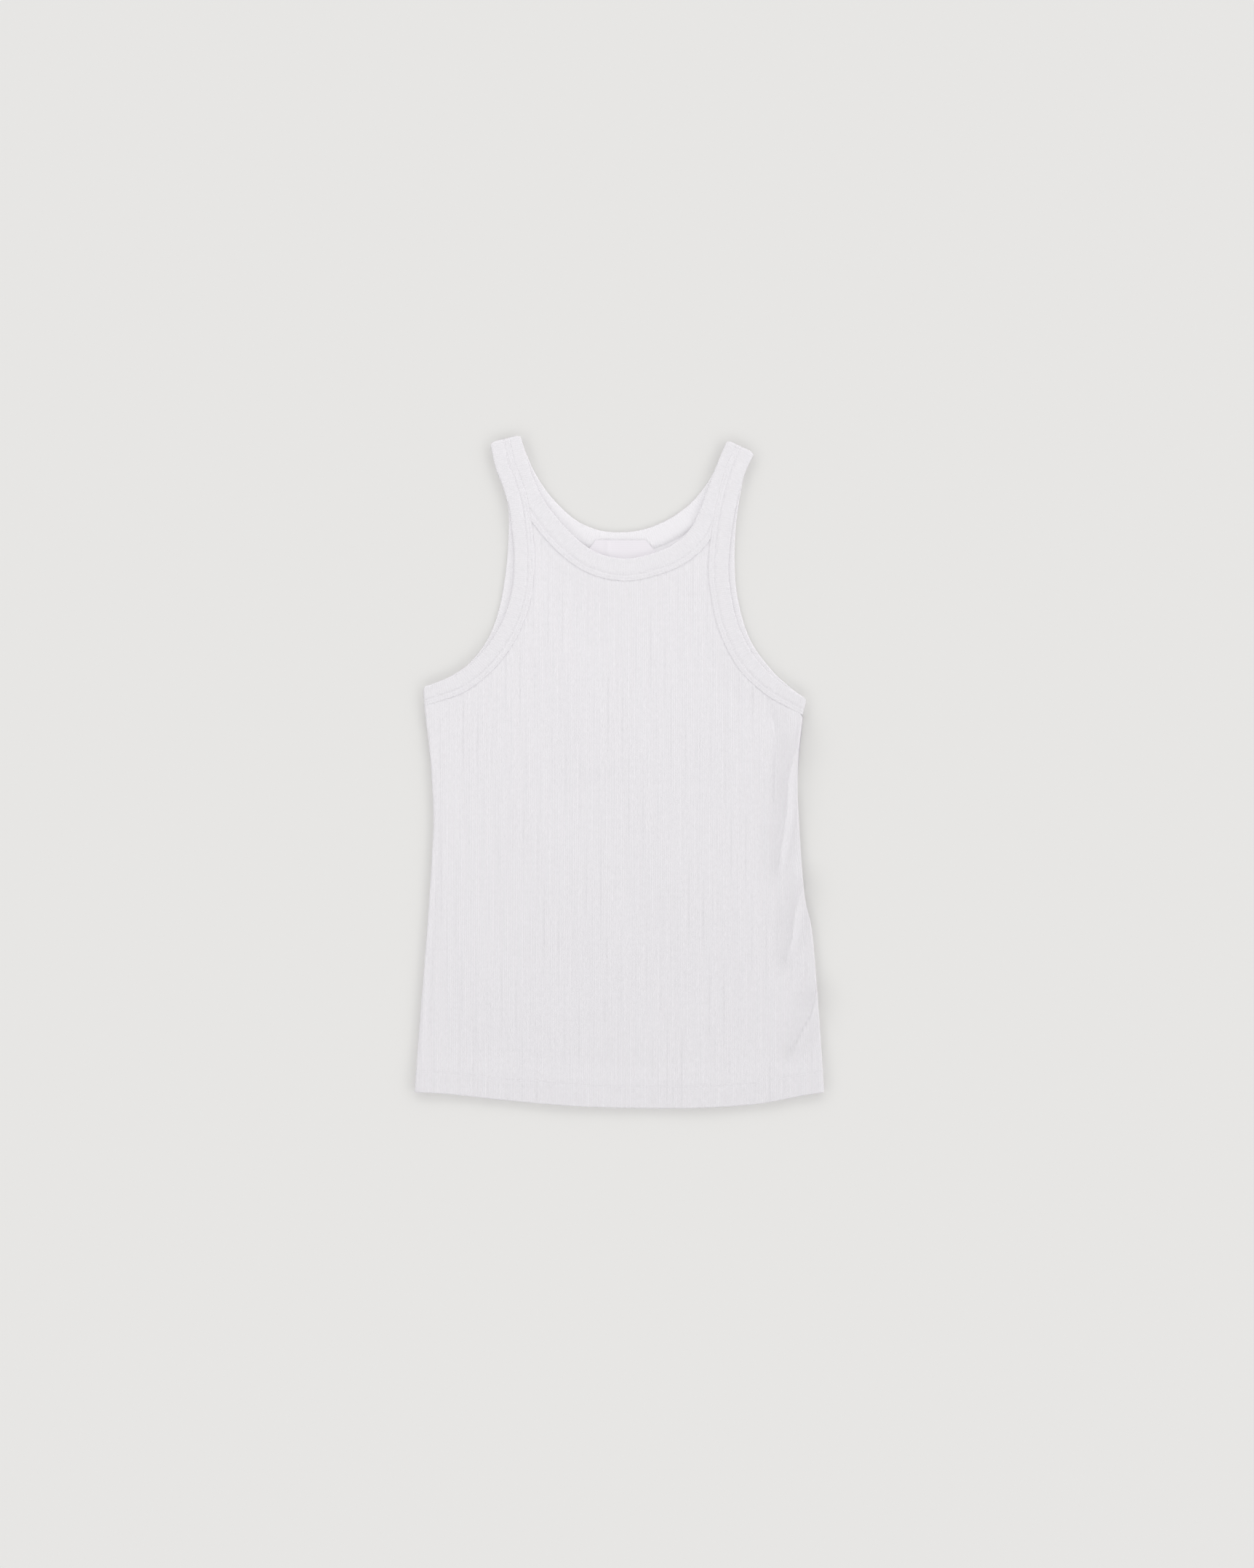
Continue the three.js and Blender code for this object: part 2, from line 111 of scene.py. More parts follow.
# %% [markdown]
# ## Lines of points
# An edge is a smooth curve through a few measured places. The curve could be a Bézier with handles, but a
# Catmull-Rom curve needs only the places themselves, so it stays as short as the measurements.

# %% Curves
def smooth(value, over):
    """0 at 0 and 1 from `over` on, level at both ends."""
    t = np.clip(np.asarray(value, float) / over, 0, 1)
    return t * t * (3 - 2 * t)


def fade_out(distance, over):
    return 1 - smooth(distance, over)


def blend(low, high, share):
    return low + (high - low) * share


def catmull_rom(points, per_span=24):
    p = np.asarray(points, float)
    t = np.linspace(0, 1, per_span, endpoint=False)[:, None]
    spans = []
    for i in range(len(p) - 1):
        before, start, end, after = p[max(i - 1, 0)], p[i], p[i + 1], p[min(i + 2, len(p) - 1)]
        leave = (end - before) / 2
        arrive = (after - start) / 2
        cubic = (2 * start - 2 * end + leave + arrive) * t ** 3
        square = (-3 * start + 3 * end - 2 * leave - arrive) * t ** 2
        spans.append(cubic + square + leave * t + start)
    return np.vstack([*spans, p[-1:]])


def distances_along(line):
    return np.concatenate([[0], np.cumsum(np.linalg.norm(np.diff(line, axis=0), axis=1))])


def evenly(line, count):
    along = distances_along(line)
    wanted = np.linspace(0, along[-1], count)
    return np.column_stack([np.interp(wanted, along, column) for column in line.T])


def turned_left(vectors):
    return np.stack([-vectors[..., 1], vectors[..., 0]], axis=-1)


def cross(a, b):
    return a[..., 0] * b[..., 1] - a[..., 1] * b[..., 0]


def unit(vectors):
    return vectors / np.linalg.norm(vectors, axis=-1, keepdims=True)


# %% [markdown]
# ## Bands on the flat
# Each binding is one closed loop: down the front, over a fold, up the back, over the next fold. On the flat
# it is a free edge, a direction across the band at each station, and a width. Near a fold the direction
# leans to the fold's own line, as a strip of cloth does when it is creased over.

# %% Folds and stretches
def fold_at(edge, other, outward):
    edge = np.array(edge, float)
    across = unit(np.array(other, float) - edge)
    out = turned_left(across)
    if out @ np.array(outward, float) < 0:
        out = -out
    return {"across": across, "out": out, "axis": edge - out * FOLD_RADIUS}


FOLDS = {}
for side in ("left", "right"):
    shoulder = SHOULDERS[side]
    underarm = UNDERARMS[side]
    FOLDS[side] = {
        "strap_arm": fold_at(shoulder["arm"], shoulder["neck"], (0, 1)),
        "strap_neck": fold_at(shoulder["neck"], shoulder["arm"], (0, 1)),
        "underarm": fold_at(underarm["arm"], underarm["seam"], (FLIP[side], 0)),
        "underarm_width": float(np.linalg.norm(np.subtract(underarm["arm"], underarm["seam"]))),
    }


def stretch(edge, start, end, cloth, width_at, count=None, spacing=None):
    curve = catmull_rom([start["axis"], *edge, end["axis"]])
    total = distances_along(curve)[-1]
    line = evenly(curve, count or round(total / spacing) + 1)
    along = np.linspace(0, total, len(line))
    across = cloth * turned_left(unit(np.gradient(line, axis=0)))
    for fold, distance in ((start, along), (end, total - along)):
        across = blend(across, fold["across"], fade_out(distance, FOLD_BLEND)[:, None])
    across = unit(across)
    return {
        "point": line,
        "across": across,
        "width": width_at(along, total, line, across),
        "start": start,
        "end": end,
    }


def seam_of(band, gap=0.0):
    return band["point"] + band["across"] * (band["width"] + gap)[:, None]


def arm_stretch(face, side, **steps):
    def width_at(along, total, line, across):
        return blend(ARM_BAND_WIDTH, FOLDS[side]["underarm_width"], fade_out(total - along, UNDERARM_TAPER))

    folds = FOLDS[side]
    edge = ARM_EDGES[face][side]
    return stretch(edge, folds["strap_arm"], folds["underarm"], -FLIP[side], width_at, **steps)


def way_to_line(points, across, line):
    """How far each point is from a line of points, straight across its band, and how far along it hits."""
    start, along = line[:-1], np.diff(line, axis=0)
    offset = start[None] - points[:, None]
    turn = cross(across[:, None], along[None])
    with np.errstate(divide="ignore", invalid="ignore"):
        distance = cross(offset, along[None]) / turn
        share = cross(offset, across[:, None]) / turn
    distance = np.where((distance > 0) & (share >= 0) & (share <= 1), distance, np.inf)
    nearest = distance.argmin(axis=1)
    rows = np.arange(len(points))
    return distance[rows, nearest], (nearest + share[rows, nearest]) / (len(line) - 1)


def neck_stretch(face, arms, **steps):
    lines = []
    for side in ("left", "right"):
        line = seam_of(arms[side])
        lines.append(np.vstack([line[0] + arms[side]["start"]["out"] * FOLD_RADIUS, line]))

    def width_at(along, total, line, across):
        room = np.minimum(*(way_to_line(line, across, seam)[0] for seam in lines))
        return np.minimum(NECK_BAND_WIDTH, room - SEAM_GAP)

    folds = [FOLDS[side]["strap_neck"] for side in ("left", "right")]
    return stretch(NECK_EDGES[face], *folds, -1, width_at, **steps)


def bands_of(**steps):
    made = {}
    for face in ("front", "back"):
        arms = {side: arm_stretch(face, side, **steps) for side in ("left", "right")}
        made[face] = {**arms, "neck": neck_stretch(face, arms, **steps)}
    return made


OUTLINE_STEPS = 361
OUTLINE = bands_of(count=OUTLINE_STEPS)
print("widest neck band", round(float(OUTLINE["front"]["neck"]["width"].max()), 2), "mm")

# %% [markdown]
# ## The lie of the front
# Cloth on a table is never quite level. The front rides up over the seams, the hem and the side folds, and
# three creases stand up to six millimetres high down the right side. A simulation could drop the cloth, but
# these creases have a known place and size, so each is a row of a table: a crest line, a height, and how far
# it reaches to its left and right. A sharp crease falls steeply from its crest, and a soft one is rounded. A
# second, narrow row on the same line gives a crease its fine bright edge. Low waves keep the rest of the
# front from looking pressed.

# %% Creases
UPPER = [(164, 355), (158, 324), (153, 306), (150, 292), (149.5, 272), (147, 250), (143, 225)]
MIDDLE = [(168, 218), (164, 202), (160, 190), (156, 173.5), (154, 157)]
LOWER = [(179, 122), (175.5, 105), (174, 96), (169.3, 82), (162.5, 70), (157.7, 60.6)]
LEFT = [(-161, 356), (-159.5, 290), (-161, 230), (-164, 180), (-171, 50)]
VALLEY = [(131, 370), (136, 343), (139.5, 318), (139, 290), (138, 250)]
CREASES = [  # name, shape, height, reach left, reach right, fade at the ends, crest
    ("left valley", "sharp", -0.7, 6, 5, 30, LEFT),
    ("left edge ridge", "soft", 0.5, 3, 4, 30, [(-171, 130), (-176, 40)]),
    ("right upper crest", "sharp", 4.3, 20, 8, 30, [*UPPER, (136, 196)]),
    ("right upper line", "sharp", 1.5, 4, 4, 30, [*UPPER, (138, 205)]),
    ("right upper valley", "sharp", -2.0, 9, 13, 30, VALLEY),
    ("right middle crest", "sharp", 4.2, 17, 10, 22, [*MIDDLE, (146, 120)]),
    ("right middle line", "sharp", 1.4, 4, 5, 20, [*MIDDLE, (150, 138)]),
    ("right lower crest", "sharp", 4.2, 16, 12, 22, [*LOWER, (146, 38)]),
    ("right lower line", "sharp", 1.4, 4, 6, 20, [*LOWER, (150, 46)]),
    ("first underarm ripple", "soft", 0.3, 6, 6, 25, [(110, 405), (110, 330)]),
    ("second underarm ripple", "soft", 0.3, 5, 5, 25, [(119, 398), (119, 325)]),
    ("middle dent", "soft", -0.6, 12, 12, 30, [(-58, 272), (8, 300)]),
    ("hem wave", "soft", 0.35, 9, 12, 30, [(34, 70), (37, 2)]),
]
CREST_ROUND = 0.6  # even a sharp crease is a little round on top
WAVES = [  # length, heading in degrees, height, start
    (61, 8, 0.10, 0.4), (43, 171, 0.07, 2.1), (97, 30, 0.16, 4.0), (29, 3, 0.04, 1.3), (140, 80, 0.15, 5.2),
]
RAISED = {"seam": 0.9, "hem": 1.5, "side": 1.0}  # how much higher the front rides over each
REACH = {"seam": 22, "hem": 22, "side": 30}  # and how far in from it
PUCKER = {"height": 0.11, "length": 8.0, "reach": 6.0}  # where the stitches draw the cloth up
HEM_GROOVE = {"depth": 0.14, "half_width": 0.8}
SEAM_DITCH = {"depth": 0.16, "half_width": 0.9}
HEM_ROUND = 0.85  # how far up the turned edge at the bottom of the hem is round
HEM_EDGE = 0.35  # its thickness at the very bottom, as a share of the hem's
HEM_TAIL = 0.5  # how far above its row of stitches the turned-up edge ends
LABEL_LIFT = {"height": 0.7, "near": 38.0, "over": 40.0}  # the front neck lies on the label


def nearest_on(points, line):
    """Distance to a line of points, whether the point is right of it, how far along, and its length."""
    line = np.asarray(line, float)
    best = np.full(len(points), np.inf)
    right = np.zeros(len(points), bool)
    along = np.zeros(len(points))
    before = 0.0
    for start, end in zip(line[:-1], line[1:]):
        run = end - start
        size = np.linalg.norm(run)
        share = np.clip((points - start) @ run / size ** 2, 0, 1)
        foot = start + share[:, None] * run
        gap = np.linalg.norm(points - foot, axis=1)
        closer = gap < best
        best = np.where(closer, gap, best)
        right = np.where(closer, points[:, 0] > foot[:, 0], right)
        along = np.where(closer, before + share * size, along)
        before += size
    return best, right, along, before


def crease_height(points):
    """The sum of all creases. CREST_ROUND keeps a sharp one from ending in a knife edge."""
    height = np.zeros(len(points))
    for _, shape, crest_height, left, right, fade, crest in CREASES:
        gap, on_right, along, length = nearest_on(points, crest)
        reach = np.where(on_right, right, left)
        ends = smooth(np.minimum(along, length - along), fade)
        if shape == "sharp":
            rounded = np.sqrt(gap ** 2 + CREST_ROUND ** 2) - CREST_ROUND
            profile = (1 - np.clip(rounded / reach, 0, 1)) ** 2
        else:
            profile = (1 - np.clip(gap / reach, 0, 1) ** 2) ** 2
        height += crest_height * profile * ends
    return height


def wave_height(points):
    height = np.zeros(len(points))
    for length, heading, size, start in WAVES:
        angle = math.radians(heading)
        run = points @ np.array([math.cos(angle), math.sin(angle)])
        height += size * np.sin(2 * math.pi * run / length + start)
    return height


def label_lift(points):
    middle = np.array([(LABEL["left"] + LABEL["right"]) / 2, NECK_BOTTOMS["front"][1]])
    gap = np.linalg.norm(points - middle, axis=-1) - LABEL_LIFT["near"]
    return LABEL_LIFT["height"] * fade_out(gap, LABEL_LIFT["over"])


LINE_STEPS = 240
SEAM_STEPS = 60
HEM_LINE = evenly(catmull_rom(HEM), LINE_STEPS)
SEAM_LINES = [evenly(seam_of(OUTLINE["front"][name]), SEAM_STEPS) for name in ("neck", "left", "right")]
SIDE_LINES = {}
for side in ("left", "right"):
    seam_end = np.array(UNDERARMS[side]["seam"]) + FOLDS[side]["underarm"]["across"] * SEAM_GAP
    SIDE_LINES[side] = evenly(catmull_rom([*SIDES[side], seam_end]), LINE_STEPS)


def hem_y(x):
    return np.interp(x, HEM_LINE[:, 0], HEM_LINE[:, 1])


def side_x(side, y):
    return np.interp(y, SIDE_LINES[side][:, 1], SIDE_LINES[side][:, 0])


def groove(distance, shape):
    return shape["depth"] * np.exp(-((distance / shape["half_width"]) ** 2))


def front_height(points, inset):
    """The top of the front at each point, from its distances to the seams, the hem's row and the side."""
    near = [nearest_on(points, line) for line in SEAM_LINES]
    gaps = np.array([found[0] for found in near])
    closest = gaps.argmin(axis=0)
    gap = gaps.min(axis=0)
    along = np.array([found[2] for found in near])[closest, np.arange(len(points))]
    above = points[:, 1] - hem_y(points[:, 0]) - HEM_DEPTH
    lifts = np.sqrt(
        (RAISED["seam"] * fade_out(gap, REACH["seam"])) ** 2
        + (RAISED["hem"] * fade_out(above, REACH["hem"])) ** 2
        + (RAISED["side"] * fade_out(inset, REACH["side"])) ** 2
    )
    puckers = PUCKER["height"] * np.sin(2 * math.pi * along / PUCKER["length"])
    puckers = puckers * fade_out(gap, PUCKER["reach"])
    soft = wave_height(points) * smooth(inset, REACH["side"]) * smooth(gap, REACH["seam"])
    height = PANEL_REST + lifts + crease_height(points) + label_lift(points) + puckers
    return height - groove(above, HEM_GROOVE) - groove(gap, SEAM_DITCH) + soft


print("creases", len(CREASES), "of which sharp", sum(row[1] == "sharp" for row in CREASES))

# %% [markdown]
# ## Mesh and node helpers
# A finished piece sits at the origin with its place in its mesh. One helper moves millimetres into the
# frame, and one adds a node to a tree, with its settings and links, whatever the node's kind.

# %% Helpers
def in_frame(points):
    placed = np.array(points, float)
    placed[:, 1] -= LENGTH / 2
    return placed * MM


def in_scene(name, data):
    made = bpy.data.objects.new(name, data)
    bpy.context.scene.collection.objects.link(made)
    return made


def mesh_object(name, points, faces, values=(), edges=()):
    """An object from points in millimetres. values holds (attribute name, kind, numbers)."""
    mesh = bpy.data.meshes.new(name)
    mesh.from_pydata(in_frame(points).tolist(), list(edges), faces)
    for label, kind, numbers in values:
        layer = mesh.attributes.new(label, kind, "POINT")
        field = "vector" if kind == "FLOAT_VECTOR" else "value"
        layer.data.foreach_set(field, np.asarray(numbers, np.float32).ravel())
    return in_scene(name, mesh)


def face_out(obj):
    grid = bmesh.new()
    grid.from_mesh(obj.data)
    bmesh.ops.recalc_face_normals(grid, faces=grid.faces)
    grid.to_mesh(obj.data)
    grid.free()


def cloth_map(obj, places, loop_length=None):
    """A UV map in metres on the cloth: across the ribs, then along them.

    The last faces of a loop run on past its length, because running back would squeeze the pattern.
    """
    layer = obj.data.uv_layers.new(name="cloth")
    corners = np.zeros(len(obj.data.loops), np.int32)
    obj.data.loops.foreach_get("vertex_index", corners)
    found = np.asarray(places, float)[corners]
    if loop_length:
        across = found[:, 0].reshape(-1, 4)
        behind = across.max(axis=1, keepdims=True) - across > loop_length / 2
        found[:, 0] = (across + loop_length * behind).ravel()
    layer.data.foreach_set("uv", (found * MM).astype(np.float32).ravel())


def node(tree, kind, inputs=(), **settings):
    """Add a node. inputs holds a value or another node's socket for each input's name or number."""
    made = tree.nodes.new(kind)
    for name, value in settings.items():
        setattr(made, name, value)
    for key, value in dict(inputs).items():
        if isinstance(value, bpy.types.NodeSocket):
            tree.links.new(value, made.inputs[key])
        else:
            made.inputs[key].default_value = value
    return made


def new_tree(name, inputs):
    """A Geometry Nodes tree with named inputs, each (name, socket type)."""
    tree = bpy.data.node_groups.new(name, "GeometryNodeTree")
    for label, kind in [("Geometry", "NodeSocketGeometry"), *inputs]:
        tree.interface.new_socket(label, in_out="INPUT", socket_type=kind)
    tree.interface.new_socket("Geometry", in_out="OUTPUT", socket_type="NodeSocketGeometry")
    return tree


def grow(obj, tree, values):
    """Run a tree on an object and keep the result as its plain mesh."""
    modifier = obj.modifiers.new(tree.name, "NODES")
    modifier.node_group = tree
    for item in tree.interface.items_tree:
        if item.in_out == "INPUT" and item.name in values:
            modifier[item.identifier] = values[item.name]
    graph = bpy.context.evaluated_depsgraph_get()
    result = bpy.data.meshes.new_from_object(
        obj.evaluated_get(graph), preserve_all_data_layers=True, depsgraph=graph
    )
    obj.modifiers.remove(modifier)
    obj.data = result
    result.name = obj.name


def above_table(tree, geometry):
    """Lift whatever lies under the top of the table onto it."""
    place = node(tree, "GeometryNodeInputPosition").outputs[0]
    x, y, z = node(tree, "ShaderNodeSeparateXYZ", {0: place}).outputs
    kept = node(tree, "ShaderNodeMath", {0: z, 1: 0.0}, operation="MAXIMUM").outputs[0]
    level = node(tree, "ShaderNodeCombineXYZ", {0: x, 1: y, 2: kept}).outputs[0]
    return node(tree, "GeometryNodeSetPosition", {"Geometry": geometry, "Position": level}).outputs[0]


def soften(obj, sharp_from=70):
    obj.data.shade_smooth()
    obj.data.set_sharp_from_angle(angle=math.radians(sharp_from))


# %% [markdown]
# ## Colours and cloth
# The cloth is white combed cotton. Its fibres scatter almost all the light that reaches them, so it is matt,
# with next to no highlight and the faintest sheen. The rib itself is geometry, and the material adds what is
# finer: the chevron of each knit stitch, a little fuzz, and the faint unevenness of the yarn. It also paints
# light: each rib's crest is coloured a little lighter and its groove darker, and the back's inner face gets
# a flat lighter tone for the shade it lies in under the front. One function turns the sRGB colours to
# linear, and one starts every material of the scene.

# %% Colour and fabric
RIB_PITCH = 1.63
BAND_RIB = 1.85
COURSE = 1.15  # one row of knit stitches, drawn a little coarse so that it shows at all
YARN = {"across": 1.3, "along": 4.5}  # the yarn's streaks, drawn several stitches long so that they show
FIBRE = 0.45  # the spacing of the fuzz, also drawn coarse
CHEVRON = 0.8  # how far a stitch's two legs lean, in rows
FUZZ = 0.05  # how high the fuzz stands
PAINTED_CREST_LIGHT = 0.12  # painted light: how much lighter a rib's crest is coloured, and its groove darker
KNIT_STITCH = 0.05  # how deep the relief of a knit stitch is


def linear(code):
    channels = [int(code[i : i + 2], 16) / 255 for i in (0, 2, 4)]
    return tuple(c / 12.92 if c <= 0.04045 else ((c + 0.055) / 1.055) ** 2.4 for c in channels) + (1.0,)


def new_material(name, finish):
    """A material with its shader's own values set from a table. Returns it, its tree and its shader."""
    made = bpy.data.materials.new(name)
    made.use_nodes = True
    shader = made.node_tree.nodes["Principled BSDF"]
    for socket, value in finish.items():
        shader.inputs[socket].default_value = value
    return made, made.node_tree, shader


PAINTED_LIGHT_INSIDE = linear("e0dee1")  # painted light: the back's inner face, flat and a little lighter, to offset the shade it lies in under the front
COTTON = {
    "Roughness": 0.92,
    "IOR": 1.5,
    "Specular IOR Level": 0.05,
    "Sheen Weight": 0.03,
    "Sheen Roughness": 0.5,
}


def knit(name, light, dark, pitch):
    """Cotton rib knit. light and dark are the ends of its colour: the yarn's streaks and a painted light on
    each rib's crest move it between them, and pitch is the rib's.
    """
    material, tree, shader = new_material(name, COTTON)
    place = node(tree, "ShaderNodeUVMap", uv_map="cloth").outputs["UV"]
    across, along, _ = node(tree, "ShaderNodeSeparateXYZ", {0: place}).outputs
    ribs = node(tree, "ShaderNodeMath", {0: across, 1: 1 / (pitch * MM)}, operation="MULTIPLY").outputs[0]
    rows = node(tree, "ShaderNodeMath", {0: along, 1: 1 / (COURSE * MM)}, operation="MULTIPLY").outputs[0]
    saw = node(tree, "ShaderNodeMath", {0: ribs, 1: 1.0}, operation="PINGPONG").outputs[0]
    leaning = {0: saw, 1: CHEVRON, 2: rows}
    chevron = node(tree, "ShaderNodeMath", leaning, operation="MULTIPLY_ADD").outputs[0]
    turns = node(tree, "ShaderNodeMath", {0: chevron, 1: 2 * math.pi}, operation="MULTIPLY").outputs[0]
    loops = node(tree, "ShaderNodeMath", {0: turns}, operation="SINE").outputs[0]
    fibre = node(tree, "ShaderNodeTexNoise", {"Vector": place, "Scale": 1 / (FIBRE * MM), "Detail": 3.0})
    streak = (1 / (YARN["across"] * MM), 1 / (YARN["along"] * MM), 1)
    stretched = node(tree, "ShaderNodeMapping", {"Vector": place, "Scale": streak})
    yarn = node(tree, "ShaderNodeTexNoise", {"Vector": stretched.outputs[0], "Scale": 1.0, "Detail": 2.0})
    # painted light: the cosine of the rib's phase colours each crest lighter and each groove darker
    phase = node(tree, "ShaderNodeMath", {0: ribs, 1: 2 * math.pi}, operation="MULTIPLY").outputs[0]
    crest = node(tree, "ShaderNodeMath", {0: phase}, operation="COSINE").outputs[0]
    streaks = node(tree, "ShaderNodeMapRange", {0: yarn.outputs[0], 1: 0.1, 2: 0.9}).outputs[0]
    mixed = {0: crest, 1: PAINTED_CREST_LIGHT, 2: streaks}
    crest_light_and_streaks = node(tree, "ShaderNodeMath", mixed, operation="MULTIPLY_ADD", use_clamp=True).outputs[0]
    shade = node(tree, "ShaderNodeMix", {0: crest_light_and_streaks, 6: linear(dark), 7: linear(light)}, data_type="RGBA")
    # painted light: where the back's inner face shows, the colour is a flat lighter tone, to offset the
    # shade it lies in under the front
    inside = node(tree, "ShaderNodeAttribute", attribute_name="inside").outputs["Fac"]
    with_painted_inside = node(tree, "ShaderNodeMix", {0: inside, 6: shade.outputs[2], 7: PAINTED_LIGHT_INSIDE}, data_type="RGBA")
    tree.links.new(with_painted_inside.outputs[2], shader.inputs["Base Color"])
    stitch = node(tree, "ShaderNodeBump", {"Height": loops, "Strength": 0.6, "Distance": KNIT_STITCH * MM})
    fuzz = {"Height": fibre.outputs[0], "Strength": 0.5, "Distance": FUZZ * MM, "Normal": stitch.outputs[0]}
    hair = node(tree, "ShaderNodeBump", fuzz)
    tree.links.new(hair.outputs[0], shader.inputs["Normal"])
    return material


BODY_KNIT = knit("White combed cotton, fine rib knit", "e0dee1", "d7d5d8", RIB_PITCH)
BAND_KNIT = knit("White combed cotton, rib binding", "dfdde0", "d7d5d8", BAND_RIB)
print("knit materials", BODY_KNIT.name, "and", BAND_KNIT.name)

# %% [markdown]
# ## Ribs as real relief
# The ribs run up the body, 1.6 mm apart, and across each binding. They could be a bump, but their shade,
# and the way the seams cut them, comes from real height, with a painted lighter crest from the knit
# material on top. A Geometry Nodes tree lifts the cloth along its normals by a cosine of how far across the
# ribs each point lies, and a noise makes some ribs a little fuller than others. Whatever would sink into
# the table is lifted back onto it.

# %% The rib tree
RIB_HEIGHT = 0.26  # from the groove to the crest
UNEVENNESS = 0.6  # how much fuller or flatter a rib may be
FULL_STRETCH = 100 / 9  # how long a fuller stretch of a rib is, about 11 mm
ROW_FLATTENS = {"hem": 0.6, "binding": 0.55}  # how much of a rib's height a row of stitches takes away


def rib_tree():
    sizes = ["Rib pitch", "Rib height", "Unevenness", "Seed"]
    inputs = [(label, "NodeSocketFloat") for label in sizes]
    tree = new_tree("Raised ribs", [*inputs, ("Cloth", "NodeSocketMaterial")])
    given = node(tree, "NodeGroupInput").outputs
    stored = "GeometryNodeInputNamedAttribute"
    across = node(tree, stored, {"Name": "rib_across"}, data_type="FLOAT").outputs[0]
    depth = node(tree, stored, {"Name": "rib_depth"}, data_type="FLOAT").outputs[0]
    count = node(tree, "ShaderNodeMath", {0: across, 1: given["Rib pitch"]}, operation="DIVIDE").outputs[0]
    angle = node(tree, "ShaderNodeMath", {0: count, 1: 2 * math.pi}, operation="MULTIPLY").outputs[0]
    wave = node(tree, "ShaderNodeMath", {0: angle}, operation="COSINE").outputs[0]
    grain = {"W": given["Seed"], "Scale": 1 / (FULL_STRETCH * MM), "Detail": 2.0}
    noise = node(tree, "ShaderNodeTexNoise", grain, noise_dimensions="4D").outputs[0]
    swing = node(tree, "ShaderNodeMath", {0: noise, 1: 0.5}, operation="SUBTRACT").outputs[0]
    fuller = {0: swing, 1: given["Unevenness"], 2: 1.0}
    fullness = node(tree, "ShaderNodeMath", fuller, operation="MULTIPLY_ADD").outputs[0]
    half = node(tree, "ShaderNodeMath", {0: given["Rib height"], 1: 0.5}, operation="MULTIPLY").outputs[0]
    lift = node(tree, "ShaderNodeMath", {0: wave, 1: half}, operation="MULTIPLY").outputs[0]
    eased = node(tree, "ShaderNodeMath", {0: lift, 1: depth}, operation="MULTIPLY").outputs[0]
    uneven = node(tree, "ShaderNodeMath", {0: eased, 1: fullness}, operation="MULTIPLY").outputs[0]
    normal = node(tree, "GeometryNodeInputNormal").outputs[0]
    offset = node(tree, "ShaderNodeVectorMath", {0: normal, "Scale": uneven}, operation="SCALE").outputs[0]
    moved = node(tree, "GeometryNodeSetPosition", {"Geometry": given["Geometry"], "Offset": offset})
    resting = above_table(tree, moved.outputs[0])
    whole = node(tree, "GeometryNodeRealizeInstances", {"Geometry": resting})
    done = node(tree, "GeometryNodeSetMaterial", {"Geometry": whole.outputs[0], "Material": given["Cloth"]})
    node(tree, "NodeGroupOutput", {"Geometry": done.outputs[0]})
    return tree


RIBS = rib_tree()


def raise_ribs(obj, material, pitch, height, seed):
    values = {
        "Rib pitch": pitch * MM,
        "Rib height": height * MM,
        "Unevenness": UNEVENNESS,
        "Seed": float(seed),
        "Cloth": material,
    }
    grow(obj, RIBS, values)
    soften(obj)
    print(obj.name, len(obj.data.polygons), "faces")


# %% [markdown]
# ## Front and back panels
# A panel is rows of points from its middle out to its edge, with three columns to a rib, so each rib is a
# crest and two flanks. A grid stretched to the outline would be simpler, but its ribs would fan out. Here
# the columns keep their place across the cloth while the outline moves, so side folds and seams cut the ribs
# as scissors do. Only the outer skin needs that many points. The inner skin takes every twelfth column, and
# rims close the wall.

# %% Rows of a panel
COLUMN = RIB_PITCH / 3
COLUMN_SPARE = 0.3  # the least room between a row's end and its first column, in columns
INNER_EVERY = 12
HEM_ROWS = [0, 0.25, HEM_ROUND, 1.8, 5, 9, 13, 16, 17.6, 18.4, 19, 19.6, 20.4, 22, 25, 29]
LAST_SIDE_ROW = 340.0
ROW_COUNTS = {"front": (66, 28, 30), "back": (36, 20, 24)}  # above the hem, up to the neck, up the strap
CROWDING = 1.3  # rows crowd toward the underarm, where the edge turns
STRAP_END = 0.985  # a panel's tip stops short of where its two seams meet
DENSE = 640
DENSE_CROWDING = 1.6  # the points that a row is measured by crowd toward its outer end
BACK_LIFT = {"height": 1.0, "from": 440.0, "over": 40.0}  # the back rises to the middle of its neck binding


def lowest_place(neck, bottom):
    return int(np.linalg.norm(neck["point"] - np.array(bottom), axis=1).argmin())


def stations(line, place):
    """Points of a line at places from 0 to 1 along its stations."""
    at = np.linspace(0, 1, len(line))
    return np.column_stack([np.interp(place, at, column) for column in line.T])


